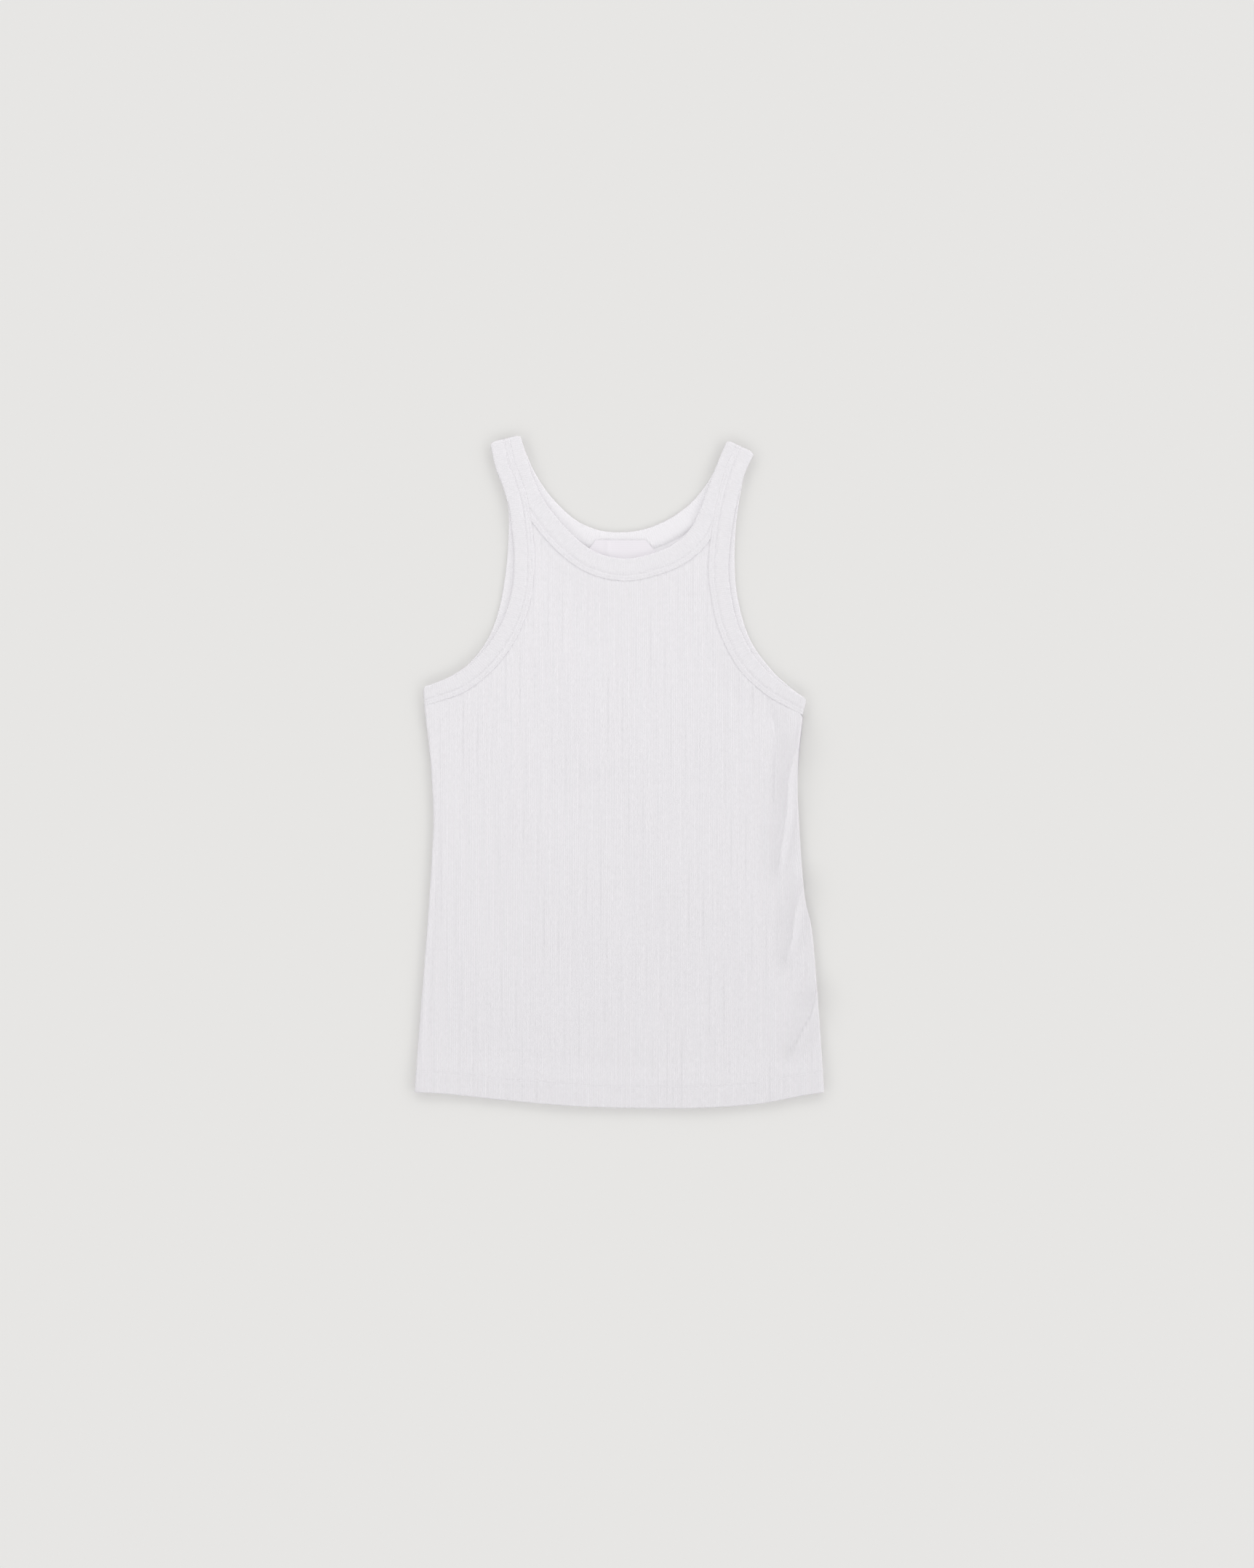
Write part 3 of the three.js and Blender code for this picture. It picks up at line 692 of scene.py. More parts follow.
def row_lines(face, side):
    """Every row of half a panel, as points from the middle or the neck out to the side or the armhole."""
    bands = OUTLINE[face]
    neck, arm = bands["neck"], bands[side]
    last = len(neck["point"]) - 1
    lowest = lowest_place(neck, NECK_BOTTOMS[face])
    neck_seam = seam_of(neck, SEAM_GAP)
    arm_seam = seam_of(arm, SEAM_GAP)
    run = np.arange(lowest, -1, -1) if side == "left" else np.arange(lowest, last + 1)
    distance, place = way_to_line(neck["point"][run], neck["across"][run], seam_of(arm))
    meets = int(np.argmax(distance <= NECK_BAND_WIDTH + 2 * SEAM_GAP))
    meet = {"neck": run[meets] / last, "arm": place[meets]}
    bottom = neck_seam[lowest]
    side_top = arm_seam[-1]
    corner = HEM_LINE[0 if side == "left" else -1]
    dense = 1 - (1 - np.linspace(0, 1, DENSE)) ** DENSE_CROWDING
    upper, to_neck, strap = ROW_COUNTS[face]
    heights = [*HEM_ROWS, *np.linspace(HEM_ROWS[-1], LAST_SIDE_ROW, upper + 1)[1:]]
    rows = []
    for height in heights:
        share = height / LAST_SIDE_ROW
        edge_rise = share * (side_top[1] - corner[1])
        x = blend(bottom[0], side_x(side, corner[1] + edge_rise), dense)
        rows.append(np.column_stack([x, hem_y(x) + blend(height, edge_rise, dense)]))
    count = to_neck + strap
    for k in range(1, count + 1):
        end = STRAP_END if k == count else 1.0
        outer = stations(arm_seam, [blend(1, meet["arm"], (k / count) ** CROWDING * end)])[0]
        if k <= to_neck:
            inner = np.array([bottom[0], blend(LAST_SIDE_ROW, bottom[1], k / to_neck)])
        else:
            share = (k - to_neck) / strap * end
            inner = stations(neck_seam, [blend(lowest / last, meet["neck"], share)])[0]
        rows.append(blend(inner, outer, dense[:, None]))
    return np.array(rows), bottom[0], len(heights) - 1 + to_neck


def skins(face, side, points):
    """Heights of the outer skin, which way it faces, and how thick the cloth is."""
    inset = np.abs(points[:, 0] - side_x(side, points[:, 1]))
    flat = np.minimum(inset / ROLL_RADIUS, 1)
    rise = np.sqrt(1 - (1 - flat) ** 2)
    up = 1 if face == "front" else -1
    above = points[:, 1] - hem_y(points[:, 0])
    in_hem = above < HEM_DEPTH + HEM_TAIL
    turned = np.sqrt(1 - (1 - np.clip(above / HEM_ROUND, 0, 1)) ** 2)
    cloth = np.where(in_hem, HEM_CLOTH * blend(HEM_EDGE, 1, turned), CLOTH)
    resting = RIB_HEIGHT / 2
    lifted = BACK_LIFT["height"] * smooth(points[:, 1] - BACK_LIFT["from"], BACK_LIFT["over"])
    top = front_height(points, inset) if face == "front" else resting + lifted
    top = top - up * 0.5 * np.where(in_hem, HEM_CLOTH - cloth, 0)
    height = blend(FOLD_RADIUS, top, rise)
    facing = np.column_stack([FLIP[side] * (1 - flat), np.zeros(len(points)), up * rise])
    return height, facing, cloth


# %% Columns of a panel
RIB_WANDER = [(0.12, 4.3, 260, 0.0), (0.15, 7.1, -190, 2.0), (0.25, 13.0, 330, 4.1)]


def wander(points):
    """How far a rib strays sideways, so that no two spaces between ribs are quite the same."""
    strayed = np.zeros(len(points))
    for size, across, along, start in RIB_WANDER:
        strayed += size * np.sin(2 * math.pi * (points[:, 0] / across + points[:, 1] / along) + start)
    return strayed


def measured(line, height, facing, cloth, centre):
    """A row's numbers side by side, how far across the cloth each lies, and its first and last column."""
    step = np.hypot(np.diff(line[:, 0]), np.diff(height[:, 0]))
    reached = abs(line[0, 0] - centre) + np.concatenate([[0], np.cumsum(step)])
    first = math.ceil(reached[0] / COLUMN + COLUMN_SPARE)
    last = math.floor(reached[-1] / COLUMN - COLUMN_SPARE)
    return np.column_stack([line, height, facing, cloth]), reached, first, last


def half_panel(face, side, taken, middle):
    """The points of half a panel, each with all its numbers, and a table of their places in the whole panel.

    taken is how many points the panel has already, and middle holds the ones that both halves share.
    """
    lines, centre, neck_row = row_lines(face, side)
    heights, facings, cloths = (
        part.reshape(len(lines), DENSE, -1) for part in skins(face, side, lines.reshape(-1, 2))
    )
    rows = [measured(*row, centre) for row in zip(lines, heights, facings, cloths)]
    widest = max(last for *_, last in rows)
    points = []
    table = []
    for k, (numbers, reached, first, last) in enumerate(rows):
        places = np.array([reached[0], *(np.arange(first, last + 1) * COLUMN), reached[-1]])
        mixed = [np.interp(places, reached, column) for column in numbers.T]
        spots = np.column_stack([*mixed, FLIP[side] * places])
        if k in middle:
            spots = spots[1:]
        elif k <= neck_row:
            middle[k] = taken
        start = middle.get(k, taken)
        points.append(spots)
        taken += len(spots)
        end = taken - 1
        halfway = (reached[0] + reached[-1]) / 2
        row = [start]
        for j in range(1, widest + 1):
            outside = start if j * COLUMN < halfway else end
            row.append(end - 1 - last + j if first <= j <= last else outside)
        table.append([*row, end])
    return np.vstack(points), table, neck_row


# %% Panels from their columns
def skin_faces(table, side):
    """Quads and triangles between the rows of a table of point numbers, without the ones that vanish."""
    made = []
    for low, high in zip(table[:-1], table[1:]):
        for j in range(1, len(low)):
            corners = list(dict.fromkeys([low[j - 1], low[j], high[j], high[j - 1]]))
            if len(corners) > 2:
                made.append(corners if side == "right" else corners[::-1])
    return made


def inner_columns(table):
    return [0, *range(INNER_EVERY, len(table[0]) - 1, INNER_EVERY), len(table[0]) - 1]


def wall_faces(table, side, neck_row, inner_of):
    """The inner skin of half a panel, the rims that close its wall, and the outer points on those rims."""
    kept = inner_columns(table)
    small = [[inner_of[row[c]] for c in kept] for row in table]
    faces = skin_faces(small, "right" if side == "left" else "left")
    rim = set()
    for k, (low, high) in enumerate(zip(table[:-1], table[1:])):
        ends = [(low[-1], high[-1])]
        if k >= neck_row:
            ends.append((low[0], high[0]))
        for a, b in ends:
            faces.append([a, b, inner_of[b], inner_of[a]])
            rim.update((a, b))
    for row in (table[0], table[-1]):
        for c, d in zip(kept[:-1], kept[1:]):
            outside = list(dict.fromkeys(row[c : d + 1]))
            if len(outside) > 1:
                faces.append([*outside, inner_of[outside[-1]], inner_of[outside[0]]])
                rim.update(outside)
    return faces, rim


def inner_numbers(halves, taken):
    """For each outer point that the inner skin repeats, the number of its inner point."""
    inner_of = {}
    for table, side, neck_row in halves:
        for row in table:
            for c in inner_columns(table):
                if row[c] not in inner_of:
                    inner_of[row[c]] = taken + len(inner_of)
    return inner_of


def panel(name, face):
    numbers = np.zeros((0, 8))
    halves = []
    faces = []
    middle = {}
    for side in ("left", "right"):
        points, table, neck_row = half_panel(face, side, len(numbers), middle)
        numbers = np.vstack([numbers, points])
        halves.append((table, side, neck_row))
        faces.extend(skin_faces(table, side))
    outer, facing, walls, ribs = numbers[:, :3], numbers[:, 3:6], numbers[:, 6:7], numbers[:, 7]
    inner_of = inner_numbers(halves, len(outer))
    repeated = list(inner_of)
    rim = set()
    for half in halves:
        closing, outside = wall_faces(*half, inner_of)
        faces.extend(closing)
        rim.update(outside)
    every = np.vstack([outer, (outer - facing * walls)[repeated]])
    ribs = np.concatenate([ribs, ribs[repeated]]) + wander(every)
    # the inner skin; on the back it faces up and takes the knit's flat painted lighter tone
    inside = (np.arange(len(every)) >= len(outer)).astype(float)
    depth = 1 - inside
    depth[list(rim)] = 0
    above = every[:, 1] - hem_y(every[:, 0]) - HEM_DEPTH
    depth *= 1 - ROW_FLATTENS["hem"] * np.exp(-((above / HEM_GROOVE["half_width"]) ** 2))
    made = mesh_object(
        name, every, faces,
        [("rib_across", "FLOAT", ribs * MM), ("rib_depth", "FLOAT", depth), ("inside", "FLOAT", inside)],
    )
    cloth_map(made, np.column_stack([ribs, every[:, 1]]))
    face_out(made)
    return made


front_cloth = panel("front_cloth", "front")
raise_ribs(front_cloth, BODY_KNIT, RIB_PITCH, RIB_HEIGHT, seed=3)
back_cloth = panel("back_cloth", "back")
raise_ribs(back_cloth, BODY_KNIT, RIB_PITCH, RIB_HEIGHT, seed=8)

# %% [markdown]
# ## Bindings
# A binding is a strip folded round the raw edge and held by two rows of stitches near the seam. Its section
# is round at the free edge and dips along each row. The section is carried round the whole loop, three
# sections to a rib, so the ribs cross the band and turn over its edge and over the shoulder.

# %% Sections of a binding
SECTION_STEP = BAND_RIB / 3
BAND_RIB_HEIGHT = 0.32
FOLD_SECTIONS = 6
ROWS_FROM_SEAM = (5.5, 2.3)
ROW_DIPS = (0.34, 0.20)  # how deep each row of stitches pulls the band down
ROW_HALF = 0.9  # half the width that a row pulls down
SEWN = {"from": 0.4, "over": 0.8}  # a row stops pulling where another band covers this one
PLUMP = 0.08  # how much fuller a band is in its middle
BULK = (0.45, 0.75)  # two places on a band's top, as shares of the way to the first row of stitches
PAST_ROW = 0.8  # one more place, this far past the second row
UNDER_BULK = (0.66, 0.33)  # two places on its underside, as shares of its width
UNDER_LIP = 0.3  # how near the seam the underside is rounded
LEAST_STEP = 0.02  # places never lie closer, even where a band is narrow
CORNER = 3.0  # round corners at the ends of a strap
SEAM_ROUND = [(1.1, 1.0), (0.45, 0.86), (0.0, 0.45)]  # in from the seam, share of half the thickness
ROUND = [(0.0, 0.0), (0.10, 0.42), (0.42, 0.78), (1.0, 0.97), (2.4, 1.0)]  # the same from the free edge
UNDERSIDE = [0.55, 1, 1, 1, 0.97, 0.78, 0.42]  # the same shares on the way back under, from seam to edge


def corner_inset(reach):
    """How far a round corner draws the free edge in, at a distance from the fold's outermost line."""
    left = np.clip(CORNER - reach, 0, CORNER)
    return CORNER - np.sqrt(CORNER ** 2 - left ** 2)


def band_stations(front, back):
    """The loop as arrays: the middle of the free edge, the ways across and up, the width and the inset."""
    parts = []

    def face_part(band, up, flip):
        point = np.column_stack([band["point"], np.full(len(band["point"]), FOLD_RADIUS + up * FOLD_TURN)])
        if up > 0:
            point[:, 2] += label_lift(band["point"])
        across = np.column_stack([band["across"], np.zeros(len(point))])
        top = np.tile([0.0, 0.0, float(up)], (len(point), 1))
        along = distances_along(band["point"])
        inset = corner_inset(FOLD_RADIUS + np.minimum(along, along[-1] - along))
        order = slice(None, None, -1) if flip else slice(None)
        parts.append([part[order] for part in (point, across, top, band["width"], inset)])

    def fold_part(fold, width, angles):
        sines, cosines = np.sin(angles), np.cos(angles)
        out = np.append(fold["out"], 0)
        axis = np.append(fold["axis"], FOLD_RADIUS)
        top = sines[:, None] * out + cosines[:, None] * np.array([0, 0, 1])
        point = axis + top * FOLD_TURN
        across = np.tile(np.append(fold["across"], 0), (len(angles), 1))
        inset = corner_inset(FOLD_RADIUS * (1 - sines))
        parts.append([point, across, top, np.full(len(angles), width), inset])

    turn = np.pi * np.arange(1, FOLD_SECTIONS) / FOLD_SECTIONS
    face_part(front, 1, False)
    fold_part(front["end"], front["width"][-1], turn)
    face_part(back, -1, True)
    fold_part(front["start"], front["width"][0], np.pi - turn)
    return [np.concatenate(column) for column in zip(*parts)]


def row_places(width, kind):
    """Where the two rows of stitches run, in from the free edge. The neck's keep their place from it."""
    full = np.full(len(width), NECK_BAND_WIDTH) if kind == "neck" else width
    return [full - from_seam for from_seam in ROWS_FROM_SEAM]


def dip(place, rows, width):
    depth = 0
    for row, deepest in zip(rows, ROW_DIPS):
        sewn = smooth(width - row - SEWN["from"], SEWN["over"])
        depth = depth + deepest * np.exp(-(((place - row) / (ROW_HALF / 2)) ** 2)) * sewn
    return depth


def band_sections(width, rows):
    """Places across each section and heights from its middle, round the whole outline."""
    half = BAND_THICKNESS / 2 - BAND_RIB_HEIGHT / 4
    far, near = rows
    bulk = [far * share for share in BULK]
    bulk += [far - ROW_HALF, far, far + ROW_HALF, near - ROW_HALF, near, near + PAST_ROW]
    free = [np.full(len(width), place) for place, share in ROUND]
    seam = [width - back for back, share in SEAM_ROUND]
    places = []
    for left, place in zip(range(len(free) + len(bulk), 0, -1), [*free, *bulk]):
        places.append(np.minimum(place, width - SEAM_ROUND[0][0] - LEAST_STEP * left))
    places += seam
    shares = [share for _, share in ROUND] + [1.0] * len(bulk) + [share for _, share in SEAM_ROUND]
    top = []
    for share, place in zip(shares, places):
        plump = PLUMP * np.sin(np.pi * np.clip(place / width, 0, 1))
        top.append(half * share + plump * share - dip(place, rows, width))
    under_bulk = [width * share for share in UNDER_BULK]
    under_places = [width, width - UNDER_LIP, *under_bulk, free[3], free[2], free[1]]
    under = [np.full(len(width), -half * share) for share in UNDERSIDE]
    across = np.column_stack([*places, *under_places])
    up = np.column_stack([*top, *under])
    return across, up


# %% Bindings round their loops
THREAD_LIES = {"band": 0.05, "front": 0.06}  # how far the middle of a thread is above its cloth


def binding(name, kind, seed):
    bands = bands_of(spacing=SECTION_STEP)
    point, across, top, width, inset = band_stations(bands["front"][kind], bands["back"][kind])
    rows = row_places(width, kind)
    places, heights = band_sections(width, rows)
    places = places + inset[:, None] * fade_out(places, 2 * CORNER)
    ring = places.shape[1]
    count = len(point)
    spots = point[:, None] + across[:, None] * places[..., None] + top[:, None] * heights[..., None]
    ids = np.arange(count * ring).reshape(count, ring)
    ahead = np.roll(ids, -1, axis=0)
    faces = np.stack([ids, np.roll(ids, -1, axis=1), np.roll(ahead, -1, axis=1), ahead], axis=-1)
    pitch = BAND_RIB * count / (3 * round(count / 3))  # a whole number of ribs to the loop
    along = np.repeat(np.arange(count) * SECTION_STEP, ring)
    depth = np.ones((count, ring))
    for row in rows:
        pulled = np.exp(-(((places - row[:, None]) / ROW_HALF) ** 2))
        depth = np.minimum(depth, 1 - ROW_FLATTENS["binding"] * pulled)
    # this stretch takes the knit's flat painted lighter tone
    inner_face = np.repeat(smooth(0.5 - top[:, 2], 1.0), ring)  # the back's stretch shows its inner face
    made = mesh_object(
        name, spots.reshape(-1, 3), faces.reshape(-1, 4).tolist(),
        [
            ("rib_across", "FLOAT", along * MM),
            ("rib_depth", "FLOAT", depth.ravel()),
            ("inside", "FLOAT", inner_face),
        ],
    )
    cloth_map(made, np.column_stack([along, places.ravel()]), loop_length=count * SECTION_STEP)
    face_out(made)
    raise_ribs(made, BAND_KNIT, pitch, BAND_RIB_HEIGHT, seed)
    return made, stitch_rows(kind, point, across, top, width, rows)


def stitch_rows(kind, point, across, top, width, rows):
    """Lines of points along each stitch row of a loop, broken where another band covers it."""
    lines = []
    height = BAND_THICKNESS / 2 - ROW_DIPS[1] + THREAD_LIES["band"]
    for row in rows:
        spots = point + across * row[:, None] + top * height
        shows = row < width - ROW_HALF
        if shows.all():
            lines.append((np.vstack([spots, spots[:1]]), np.vstack([top, top[:1]])))
            continue
        starts = np.flatnonzero(shows & ~np.roll(shows, 1))
        for start in starts:
            run = [(start + k) % len(shows) for k in range(len(shows))]
            keep = run[: int(np.argmin(shows[run]))]
            lines.append((spots[keep], top[keep]))
    return lines


neck_band, neck_rows = binding("neck_band", "neck", seed=11)
arm_band_left, left_rows = binding("arm_band_left", "left", seed=15)
arm_band_right, right_rows = binding("arm_band_right", "right", seed=21)

# %% [markdown]
# ## Stitches
# Two rows of short stitches hold each binding, and one row holds the hem. A stitch is a thread that comes
# up, lies along the cloth and goes down again. One bent thread, swept in the tree, is set on points spaced
# along each row, turned to the row and to the cloth's own up.

# %% The stitch tree
THREAD = {  # spun thread shines a little more than the knit, so a row of stitches catches the light
    "Base Color": linear("e4e2e5"),
    "Roughness": 0.6,
    "Specular IOR Level": 0.4,
    "Sheen Weight": 0.2,
}
THREAD_TWIST = 0.3  # the size of the bumps that two twisted plies make, so that it doesn't look like wire


def thread_material():
    material, tree, shader = new_material("White spun polyester sewing thread", THREAD)
    place = node(tree, "ShaderNodeTexCoord").outputs["Object"]
    twist = node(tree, "ShaderNodeTexNoise", {"Vector": place, "Scale": 1 / (THREAD_TWIST * MM)}).outputs[0]
    relief = node(tree, "ShaderNodeBump", {"Height": twist, "Strength": 0.4, "Distance": 0.03 * MM})
    tree.links.new(relief.outputs[0], shader.inputs["Normal"])
    return material


THREAD_WHITE = thread_material()


def stitch_tree():
    sizes = ["Stitch length", "Stitch spacing", "Thread radius", "Rise"]
    inputs = [(label, "NodeSocketFloat") for label in sizes]
    tree = new_tree("Rows of stitches", [*inputs, ("Thread", "NodeSocketMaterial")])
    given = node(tree, "NodeGroupInput").outputs
    rows = node(tree, "GeometryNodeMeshToCurve", {"Mesh": given["Geometry"]}).outputs[0]
    spacing = {"Curve": rows, "Length": given["Stitch spacing"]}
    spaced = node(tree, "GeometryNodeResampleCurve", spacing, mode="LENGTH")
    length = given["Stitch length"]
    half = node(tree, "ShaderNodeMath", {0: length, 1: 0.5}, operation="MULTIPLY").outputs[0]
    back = node(tree, "ShaderNodeMath", {0: half, 1: -1.0}, operation="MULTIPLY").outputs[0]
    start = node(tree, "ShaderNodeCombineXYZ", {0: back}).outputs[0]
    peak = node(tree, "ShaderNodeCombineXYZ", {2: given["Rise"]}).outputs[0]
    end = node(tree, "ShaderNodeCombineXYZ", {0: half}).outputs[0]
    bow = {"Resolution": 4, "Start": start, "Middle": peak, "End": end}
    bend = node(tree, "GeometryNodeCurveQuadraticBezier", bow).outputs[0]
    round_thread = {"Resolution": 6, "Radius": given["Thread radius"]}
    profile = node(tree, "GeometryNodeCurvePrimitiveCircle", round_thread).outputs[0]
    swept = {"Curve": bend, "Profile Curve": profile, "Fill Caps": True}
    thread = node(tree, "GeometryNodeCurveToMesh", swept).outputs[0]
    tangent = node(tree, "GeometryNodeInputTangent").outputs[0]
    along = node(tree, "FunctionNodeAlignRotationToVector", {"Vector": tangent}, axis="X").outputs[0]
    cloth_up = {"Name": "cloth_up"}
    up = node(tree, "GeometryNodeInputNamedAttribute", cloth_up, data_type="FLOAT_VECTOR").outputs[0]
    turned = {"Rotation": along, "Vector": up}
    upright = node(tree, "FunctionNodeAlignRotationToVector", turned, axis="Z", pivot_axis="X").outputs[0]
    sewn = {"Points": spaced.outputs[0], "Instance": thread, "Rotation": upright}
    placed = node(tree, "GeometryNodeInstanceOnPoints", sewn)
    whole = node(tree, "GeometryNodeRealizeInstances", {"Geometry": placed.outputs[0]})
    resting = above_table(tree, whole.outputs[0])
    shaded = node(tree, "GeometryNodeSetShadeSmooth", {"Geometry": resting}).outputs[0]
    done = node(tree, "GeometryNodeSetMaterial", {"Geometry": shaded, "Material": given["Thread"]})
    node(tree, "NodeGroupOutput", {"Geometry": done.outputs[0]})
    return tree


STITCHES = stitch_tree()


def sew(name, lines, sizes):
    points = np.vstack([line for line, ups in lines])
    ups = np.vstack([ups for line, ups in lines])
    edges = []
    start = 0
    for line, _ in lines:
        edges.extend((start + i, start + i + 1) for i in range(len(line) - 1))
        start += len(line)
    made = mesh_object(name, points, [], [("cloth_up", "FLOAT_VECTOR", ups)], edges)
    values = {label: size * MM for label, size in sizes.items()}
    grow(made, STITCHES, {**values, "Thread": THREAD_WHITE})
    print(name, len(made.data.polygons), "faces")
    return made


# %% Stitches on the bindings and the hem
BAND_STITCH = {"Stitch length": 2.5, "Stitch spacing": 3.0, "Thread radius": 0.13, "Rise": 0.08}
HEM_STITCH = {**BAND_STITCH, "Stitch length": 4.2, "Stitch spacing": 5.2}
FRONT_HEM_STITCH = {**HEM_STITCH, "Thread radius": 0.15}
HEM_INSET = 2.5
HEM_ROW_END = 33.0  # how high the hem's row is at the sides
HEM_ROW_POINTS = 260
BACK_ROW_HEIGHT = 0.2  # sunk into the ribs, so that the garment lies flat on the table


def hem_row(face):
    left, right = (side_x(side, HEM_ROW_END) for side in ("left", "right"))
    x = np.linspace(left + HEM_INSET, right - HEM_INSET, HEM_ROW_POINTS)
    points = np.column_stack([x, hem_y(x) + HEM_DEPTH])
    if face == "front":
        inset = np.minimum(x - side_x("left", points[:, 1]), side_x("right", points[:, 1]) - x)
        height = front_height(points, inset) + THREAD_LIES["front"]
        up = 1.0
    else:
        height = np.full(len(x), BACK_ROW_HEIGHT)
        up = -1.0
    return np.column_stack([points, height]), np.tile([0.0, 0.0, up], (len(x), 1))


neck_stitches = sew("neck_stitches", neck_rows, BAND_STITCH)
left_stitches = sew("arm_stitches_left", left_rows, BAND_STITCH)
right_stitches = sew("arm_stitches_right", right_rows, BAND_STITCH)
hem_stitches_front = sew("hem_stitches_front", [hem_row("front")], FRONT_HEM_STITCH)
hem_stitches_back = sew("hem_stitches_back", [hem_row("back")], HEM_STITCH)

# %% [markdown]
# ## The label
# A smooth woven tape sits inside the back neck, its upper corners folded under and its lower edge tucked
# behind the front band. It is bare. It lies a little unevenly, with one soft upright fold.

# %% Label
LABEL_THICKNESS = 0.35
LABEL_BASE = 2.35
LABEL_FOLD = {"x": -10.5, "height": 0.55, "half_width": 2.2}
LABEL_WAVE = {"height": 0.08, "across": 5.5, "up": 9}
LABEL_FREE = {"from": 488, "over": 8}  # above the front band, where nothing holds the tape down
LABEL_GRID = (44, 16)
WEAVE = {"across": 0.35, "up": 0.5}  # the yarns of the weave, drawn coarse
YARNS_A_UNIT = 6.3  # a wave texture repeats about 3.2 times in a unit, and each repeat is two yarns
SATIN = {  # a filament weave is smoother and glossier than the knit, and the eye takes it for satin
    "Roughness": 0.45,
    "Specular IOR Level": 0.45,
    "Sheen Weight": 0.1,
}


def label_material():
    material, tree, shader = new_material("Woven satin label tape", SATIN)
    place = node(tree, "ShaderNodeUVMap", uv_map="cloth").outputs["UV"]
    scales = {way: 1 / (YARNS_A_UNIT * size * MM) for way, size in WEAVE.items()}
    across = node(tree, "ShaderNodeTexWave", {"Vector": place, "Scale": scales["across"]}).outputs[1]
    upward = {"Vector": place, "Scale": scales["up"]}
    up = node(tree, "ShaderNodeTexWave", upward, bands_direction="Y").outputs[1]
    weave = node(tree, "ShaderNodeMath", {0: across, 1: up}, operation="MULTIPLY").outputs[0]
    shades = {0: weave, 6: linear("d9d5da"), 7: linear("e2dfe3")}
    shade = node(tree, "ShaderNodeMix", shades, data_type="RGBA").outputs[2]
    tree.links.new(shade, shader.inputs["Base Color"])
    relief = node(tree, "ShaderNodeBump", {"Height": weave, "Strength": 0.5, "Distance": 0.03 * MM})
    tree.links.new(relief.outputs[0], shader.inputs["Normal"])
    return material


def label_tape():
    columns, rows = LABEL_GRID
    points = []
    for y in np.linspace(LABEL["top"], LABEL["bottom"], rows + 1):
        out = LABEL["slant_out"] * min((LABEL["top"] - y) / LABEL["slant"], 1)
        free = float(smooth(y - LABEL_FREE["from"], LABEL_FREE["over"]))
        for x in np.linspace(LABEL["left"] - out, LABEL["right"] + out, columns + 1):
            from_fold = (x - LABEL_FOLD["x"]) / LABEL_FOLD["half_width"]
            fold = LABEL_FOLD["height"] * math.exp(-(from_fold ** 2))
            wave = LABEL_WAVE["height"] * math.sin(x / LABEL_WAVE["across"] + y / LABEL_WAVE["up"])
            points.append((x, y, LABEL_BASE + (fold + wave) * free + LABEL_THICKNESS))
    top = np.array(points)
    under = top - [0, 0, LABEL_THICKNESS]
    ids = np.arange(len(top)).reshape(rows + 1, columns + 1)
    quads = np.stack([ids[:-1, :-1], ids[1:, :-1], ids[1:, 1:], ids[:-1, 1:]], axis=-1).reshape(-1, 4)
    border = [*ids[0, :-1], *ids[:-1, -1], *ids[-1, :0:-1], *ids[:0:-1, 0]]
    sides = [[a, b, b + len(top), a + len(top)] for a, b in zip(border, border[1:] + border[:1])]
    faces = quads.tolist() + (quads[:, ::-1] + len(top)).tolist()
    faces += [[int(v) for v in side] for side in sides]
    made = mesh_object("label_tape", np.vstack([top, under]), faces)
    cloth_map(made, np.vstack([top, top])[:, :2])
    face_out(made)
    made.data.materials.append(label_material())
    soften(made, sharp_from=50)
    return made


label_piece = label_tape()
print(label_piece.name, len(label_piece.data.polygons), "faces")

# %% [markdown]
# ## What each piece stands for
# Every piece rides on the one body. Each cloth piece stands for its solid, which is hidden.

# %% Riding and replacing
CLOTHS = [front_cloth, back_cloth, neck_band, arm_band_left, arm_band_right, label_piece]
THREADS = [neck_stitches, left_stitches, right_stitches, hem_stitches_front, hem_stitches_back]


def part(piece, slot, replaced=()):
    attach(piece, "root")
    if replaced:
        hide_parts(*replaced)


part(front_cloth, "rib_knit", ["front_panel"])
part(back_cloth, "rib_knit", ["back_panel"])
part(neck_band, "rib_binding", ["neck_binding"])
part(arm_band_left, "rib_binding", ["armhole_binding_left"])
part(arm_band_right, "rib_binding", ["armhole_binding_right"])
part(label_piece, "label_tape", ["neck_label"])
for thread in THREADS:
    part(thread, "rib_binding")

print("pieces", len(CLOTHS) + len(THREADS))

# %% [markdown]
# ## Table, light and camera
# The table is a plain pale board, and the camera looks straight down at it. A dim white sky with a brighter
# ring low down gives the even light and the soft dark line round the garment's edge. Two lamps add what a
# real room does, but on the garment alone, so that the table stays even: a window above the shoulders makes
# the chest a little lighter than the hem, and a weak light from the right, without a shadow of its own,
# picks out the ribs and creases.

# %% Stage
# Here lengths are in metres and angles in degrees, except that the camera's lens and sensor are in mm.
FLOOR = {"reach": 3.0, "drop": 0.00005}
BOARD = {"Base Color": linear("f6f5f3"), "Roughness": 1.0, "Specular IOR Level": 0.0}  # no highlight at all
ZENITH = 0.53
RING = {"sine": 0.34, "width": 0.16, "strength": 1.75, "uneven": 0.1, "azimuth": 65}
WINDOW = {"power": 2.6, "place": (-0.12, 0.60, 0.95), "tilt": 25, "size": (1.1, 0.7)}
SIDE_LIGHT = {"strength": 0.15, "elevation": 50, "azimuth": 20, "spread": 20}
CAMERA = {"lens": 100, "sensor": 36, "seen_height": 1.3928, "aim": (0.0068, 0.2878), "above": 0.003}


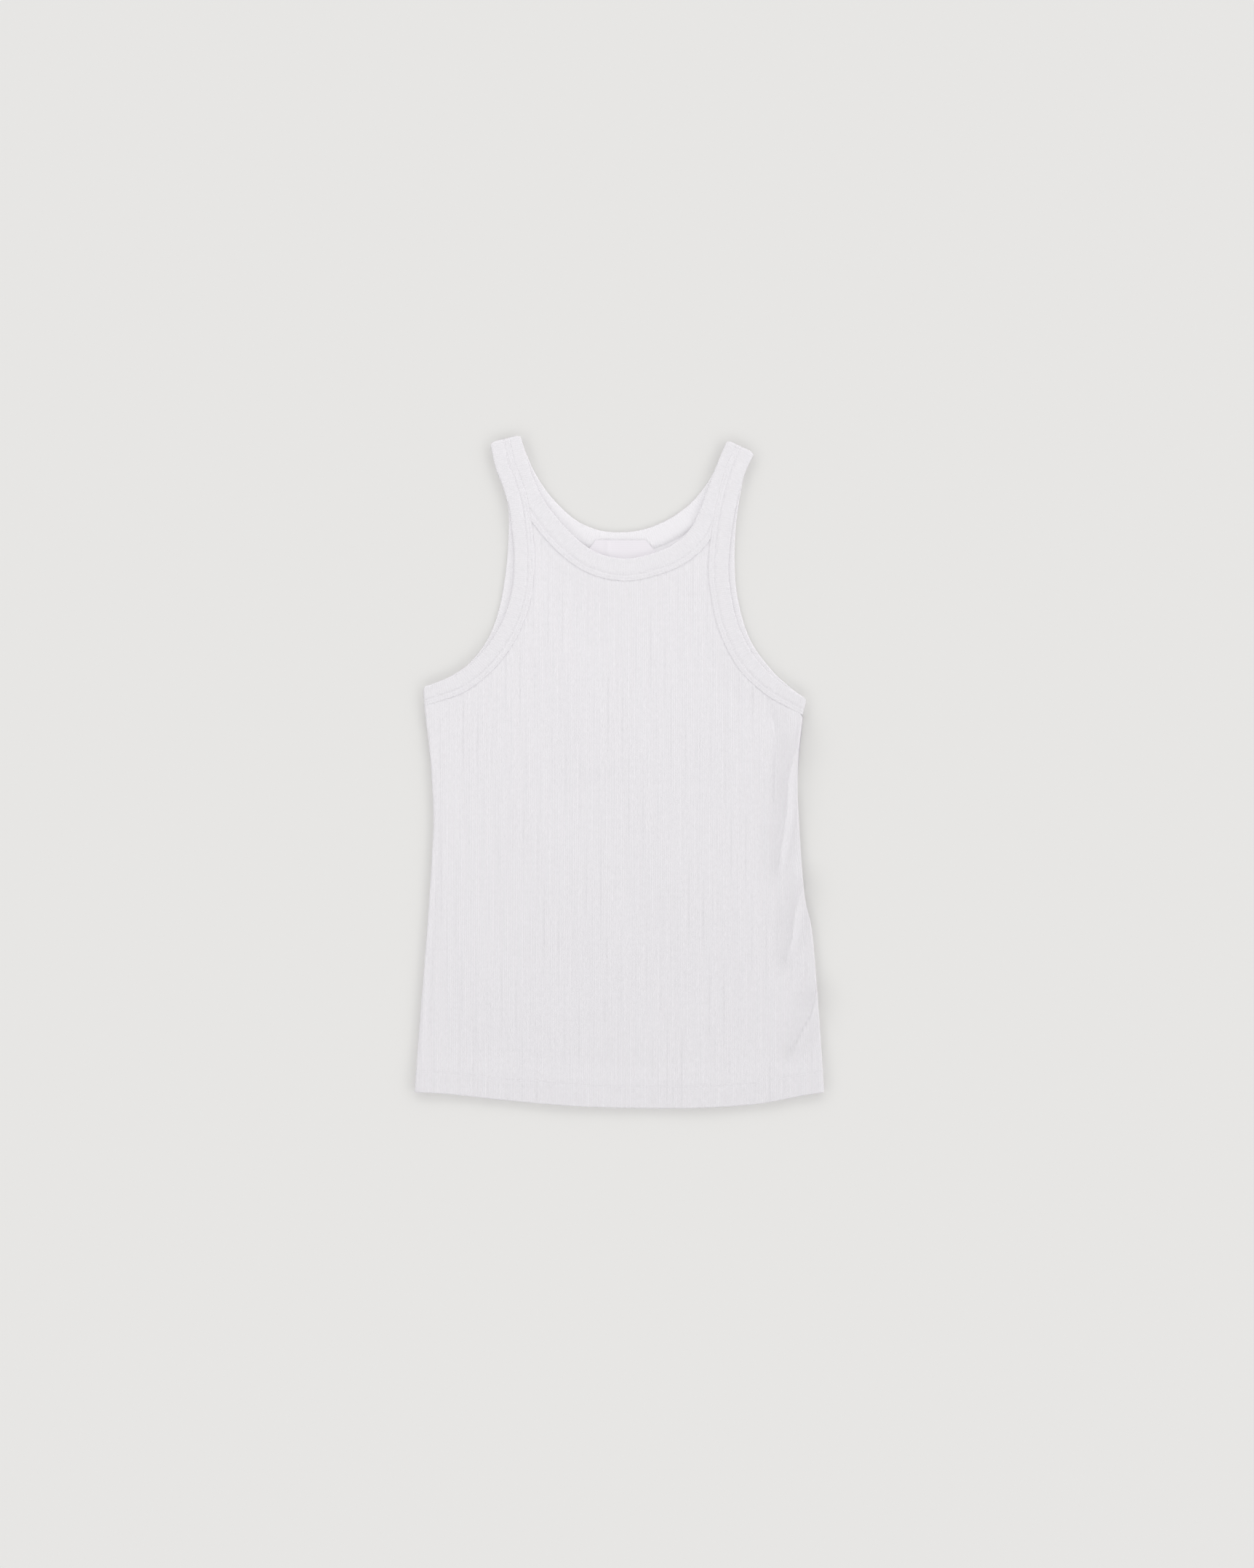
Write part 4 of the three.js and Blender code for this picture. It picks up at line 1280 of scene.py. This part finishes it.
def stage():
    reach, level = FLOOR["reach"], -FLOOR["drop"]
    corners = [(-reach, -reach), (reach, -reach), (reach, reach), (-reach, reach)]
    mesh = bpy.data.meshes.new("floor")
    mesh.from_pydata([(x, y, level) for x, y in corners], [], [[0, 1, 2, 3]])
    mesh.materials.append(new_material("Pale matt board", BOARD)[0])
    in_scene("floor", mesh)


def sky():
    """A dim zenith and a bright ring low down, a little brighter toward the upper right."""
    world = bpy.data.worlds.new("studio")
    world.use_nodes = True
    tree = world.node_tree
    way = node(tree, "ShaderNodeTexCoord").outputs["Generated"]
    height = node(tree, "ShaderNodeSeparateXYZ", {0: way}).outputs[2]
    off = node(tree, "ShaderNodeMath", {0: height, 1: RING["sine"]}, operation="SUBTRACT").outputs[0]
    wide = node(tree, "ShaderNodeMath", {0: off, 1: 1 / RING["width"]}, operation="MULTIPLY").outputs[0]
    square = node(tree, "ShaderNodeMath", {0: wide, 1: wide}, operation="MULTIPLY").outputs[0]
    fall = node(tree, "ShaderNodeMath", {0: square, 1: -1.0}, operation="MULTIPLY").outputs[0]
    bell = node(tree, "ShaderNodeMath", {0: fall}, operation="EXPONENT").outputs[0]
    azimuth = math.radians(RING["azimuth"])
    toward = {0: way, 1: (math.cos(azimuth), math.sin(azimuth), 0.0)}
    facing = node(tree, "ShaderNodeVectorMath", toward, operation="DOT_PRODUCT").outputs["Value"]
    lean = {0: facing, 1: RING["uneven"], 2: 1.0}
    uneven = node(tree, "ShaderNodeMath", lean, operation="MULTIPLY_ADD").outputs[0]
    ring = node(tree, "ShaderNodeMath", {0: bell, 1: uneven}, operation="MULTIPLY").outputs[0]
    whole = {0: ring, 1: RING["strength"], 2: ZENITH}
    strength = node(tree, "ShaderNodeMath", whole, operation="MULTIPLY_ADD").outputs[0]
    tree.links.new(strength, tree.nodes["Background"].inputs["Strength"])
    tree.nodes["Background"].inputs["Color"].default_value = (1, 1, 1, 1)
    bpy.context.scene.world = world


def window():
    lamp = bpy.data.lights.new("window", "AREA")
    lamp.shape = "RECTANGLE"
    lamp.size, lamp.size_y = WINDOW["size"]
    lamp.energy = WINDOW["power"]
    made = in_scene("window", lamp)
    made.location = WINDOW["place"]
    made.rotation_euler = (math.radians(-WINDOW["tilt"]), 0, 0)
    return made


def side_light():
    lamp = bpy.data.lights.new("side light", "SUN")
    lamp.energy = SIDE_LIGHT["strength"] * math.pi / math.sin(math.radians(SIDE_LIGHT["elevation"]))
    lamp.angle = math.radians(SIDE_LIGHT["spread"])
    lamp.use_shadow = False
    made = in_scene("side light", lamp)
    tilt = math.radians(90 - SIDE_LIGHT["elevation"])
    made.rotation_euler = (tilt, 0, math.radians(SIDE_LIGHT["azimuth"] + 90))
    return made


def light_only(lamp, pieces):
    """Keep a lamp's light off the table, so that only the sky draws the shadow round the garment."""
    lit = bpy.data.collections.new("lit by " + lamp.name)
    for piece in pieces:
        lit.objects.link(piece)
    lamp.light_linking.receiver_collection = lit


def camera():
    """Set it as high as the lens needs to see seen_height metres, measured a little above the table."""
    made = in_scene("camera", bpy.data.cameras.new("camera"))
    made.data.lens = CAMERA["lens"]
    made.data.sensor_width = CAMERA["sensor"]
    made.data.clip_end = 20
    x, y = CAMERA["aim"]
    distance = CAMERA["seen_height"] * CAMERA["lens"] / CAMERA["sensor"]
    made.location = (x, y - LENGTH * MM / 2, distance + CAMERA["above"])
    bpy.context.scene.camera = made
    return made


stage()
sky()
for lamp in (window(), side_light()):
    light_only(lamp, CLOTHS + THREADS)
print("camera at", [round(v, 4) for v in camera().location])
bpy.context.scene.view_settings.view_transform = "Standard"
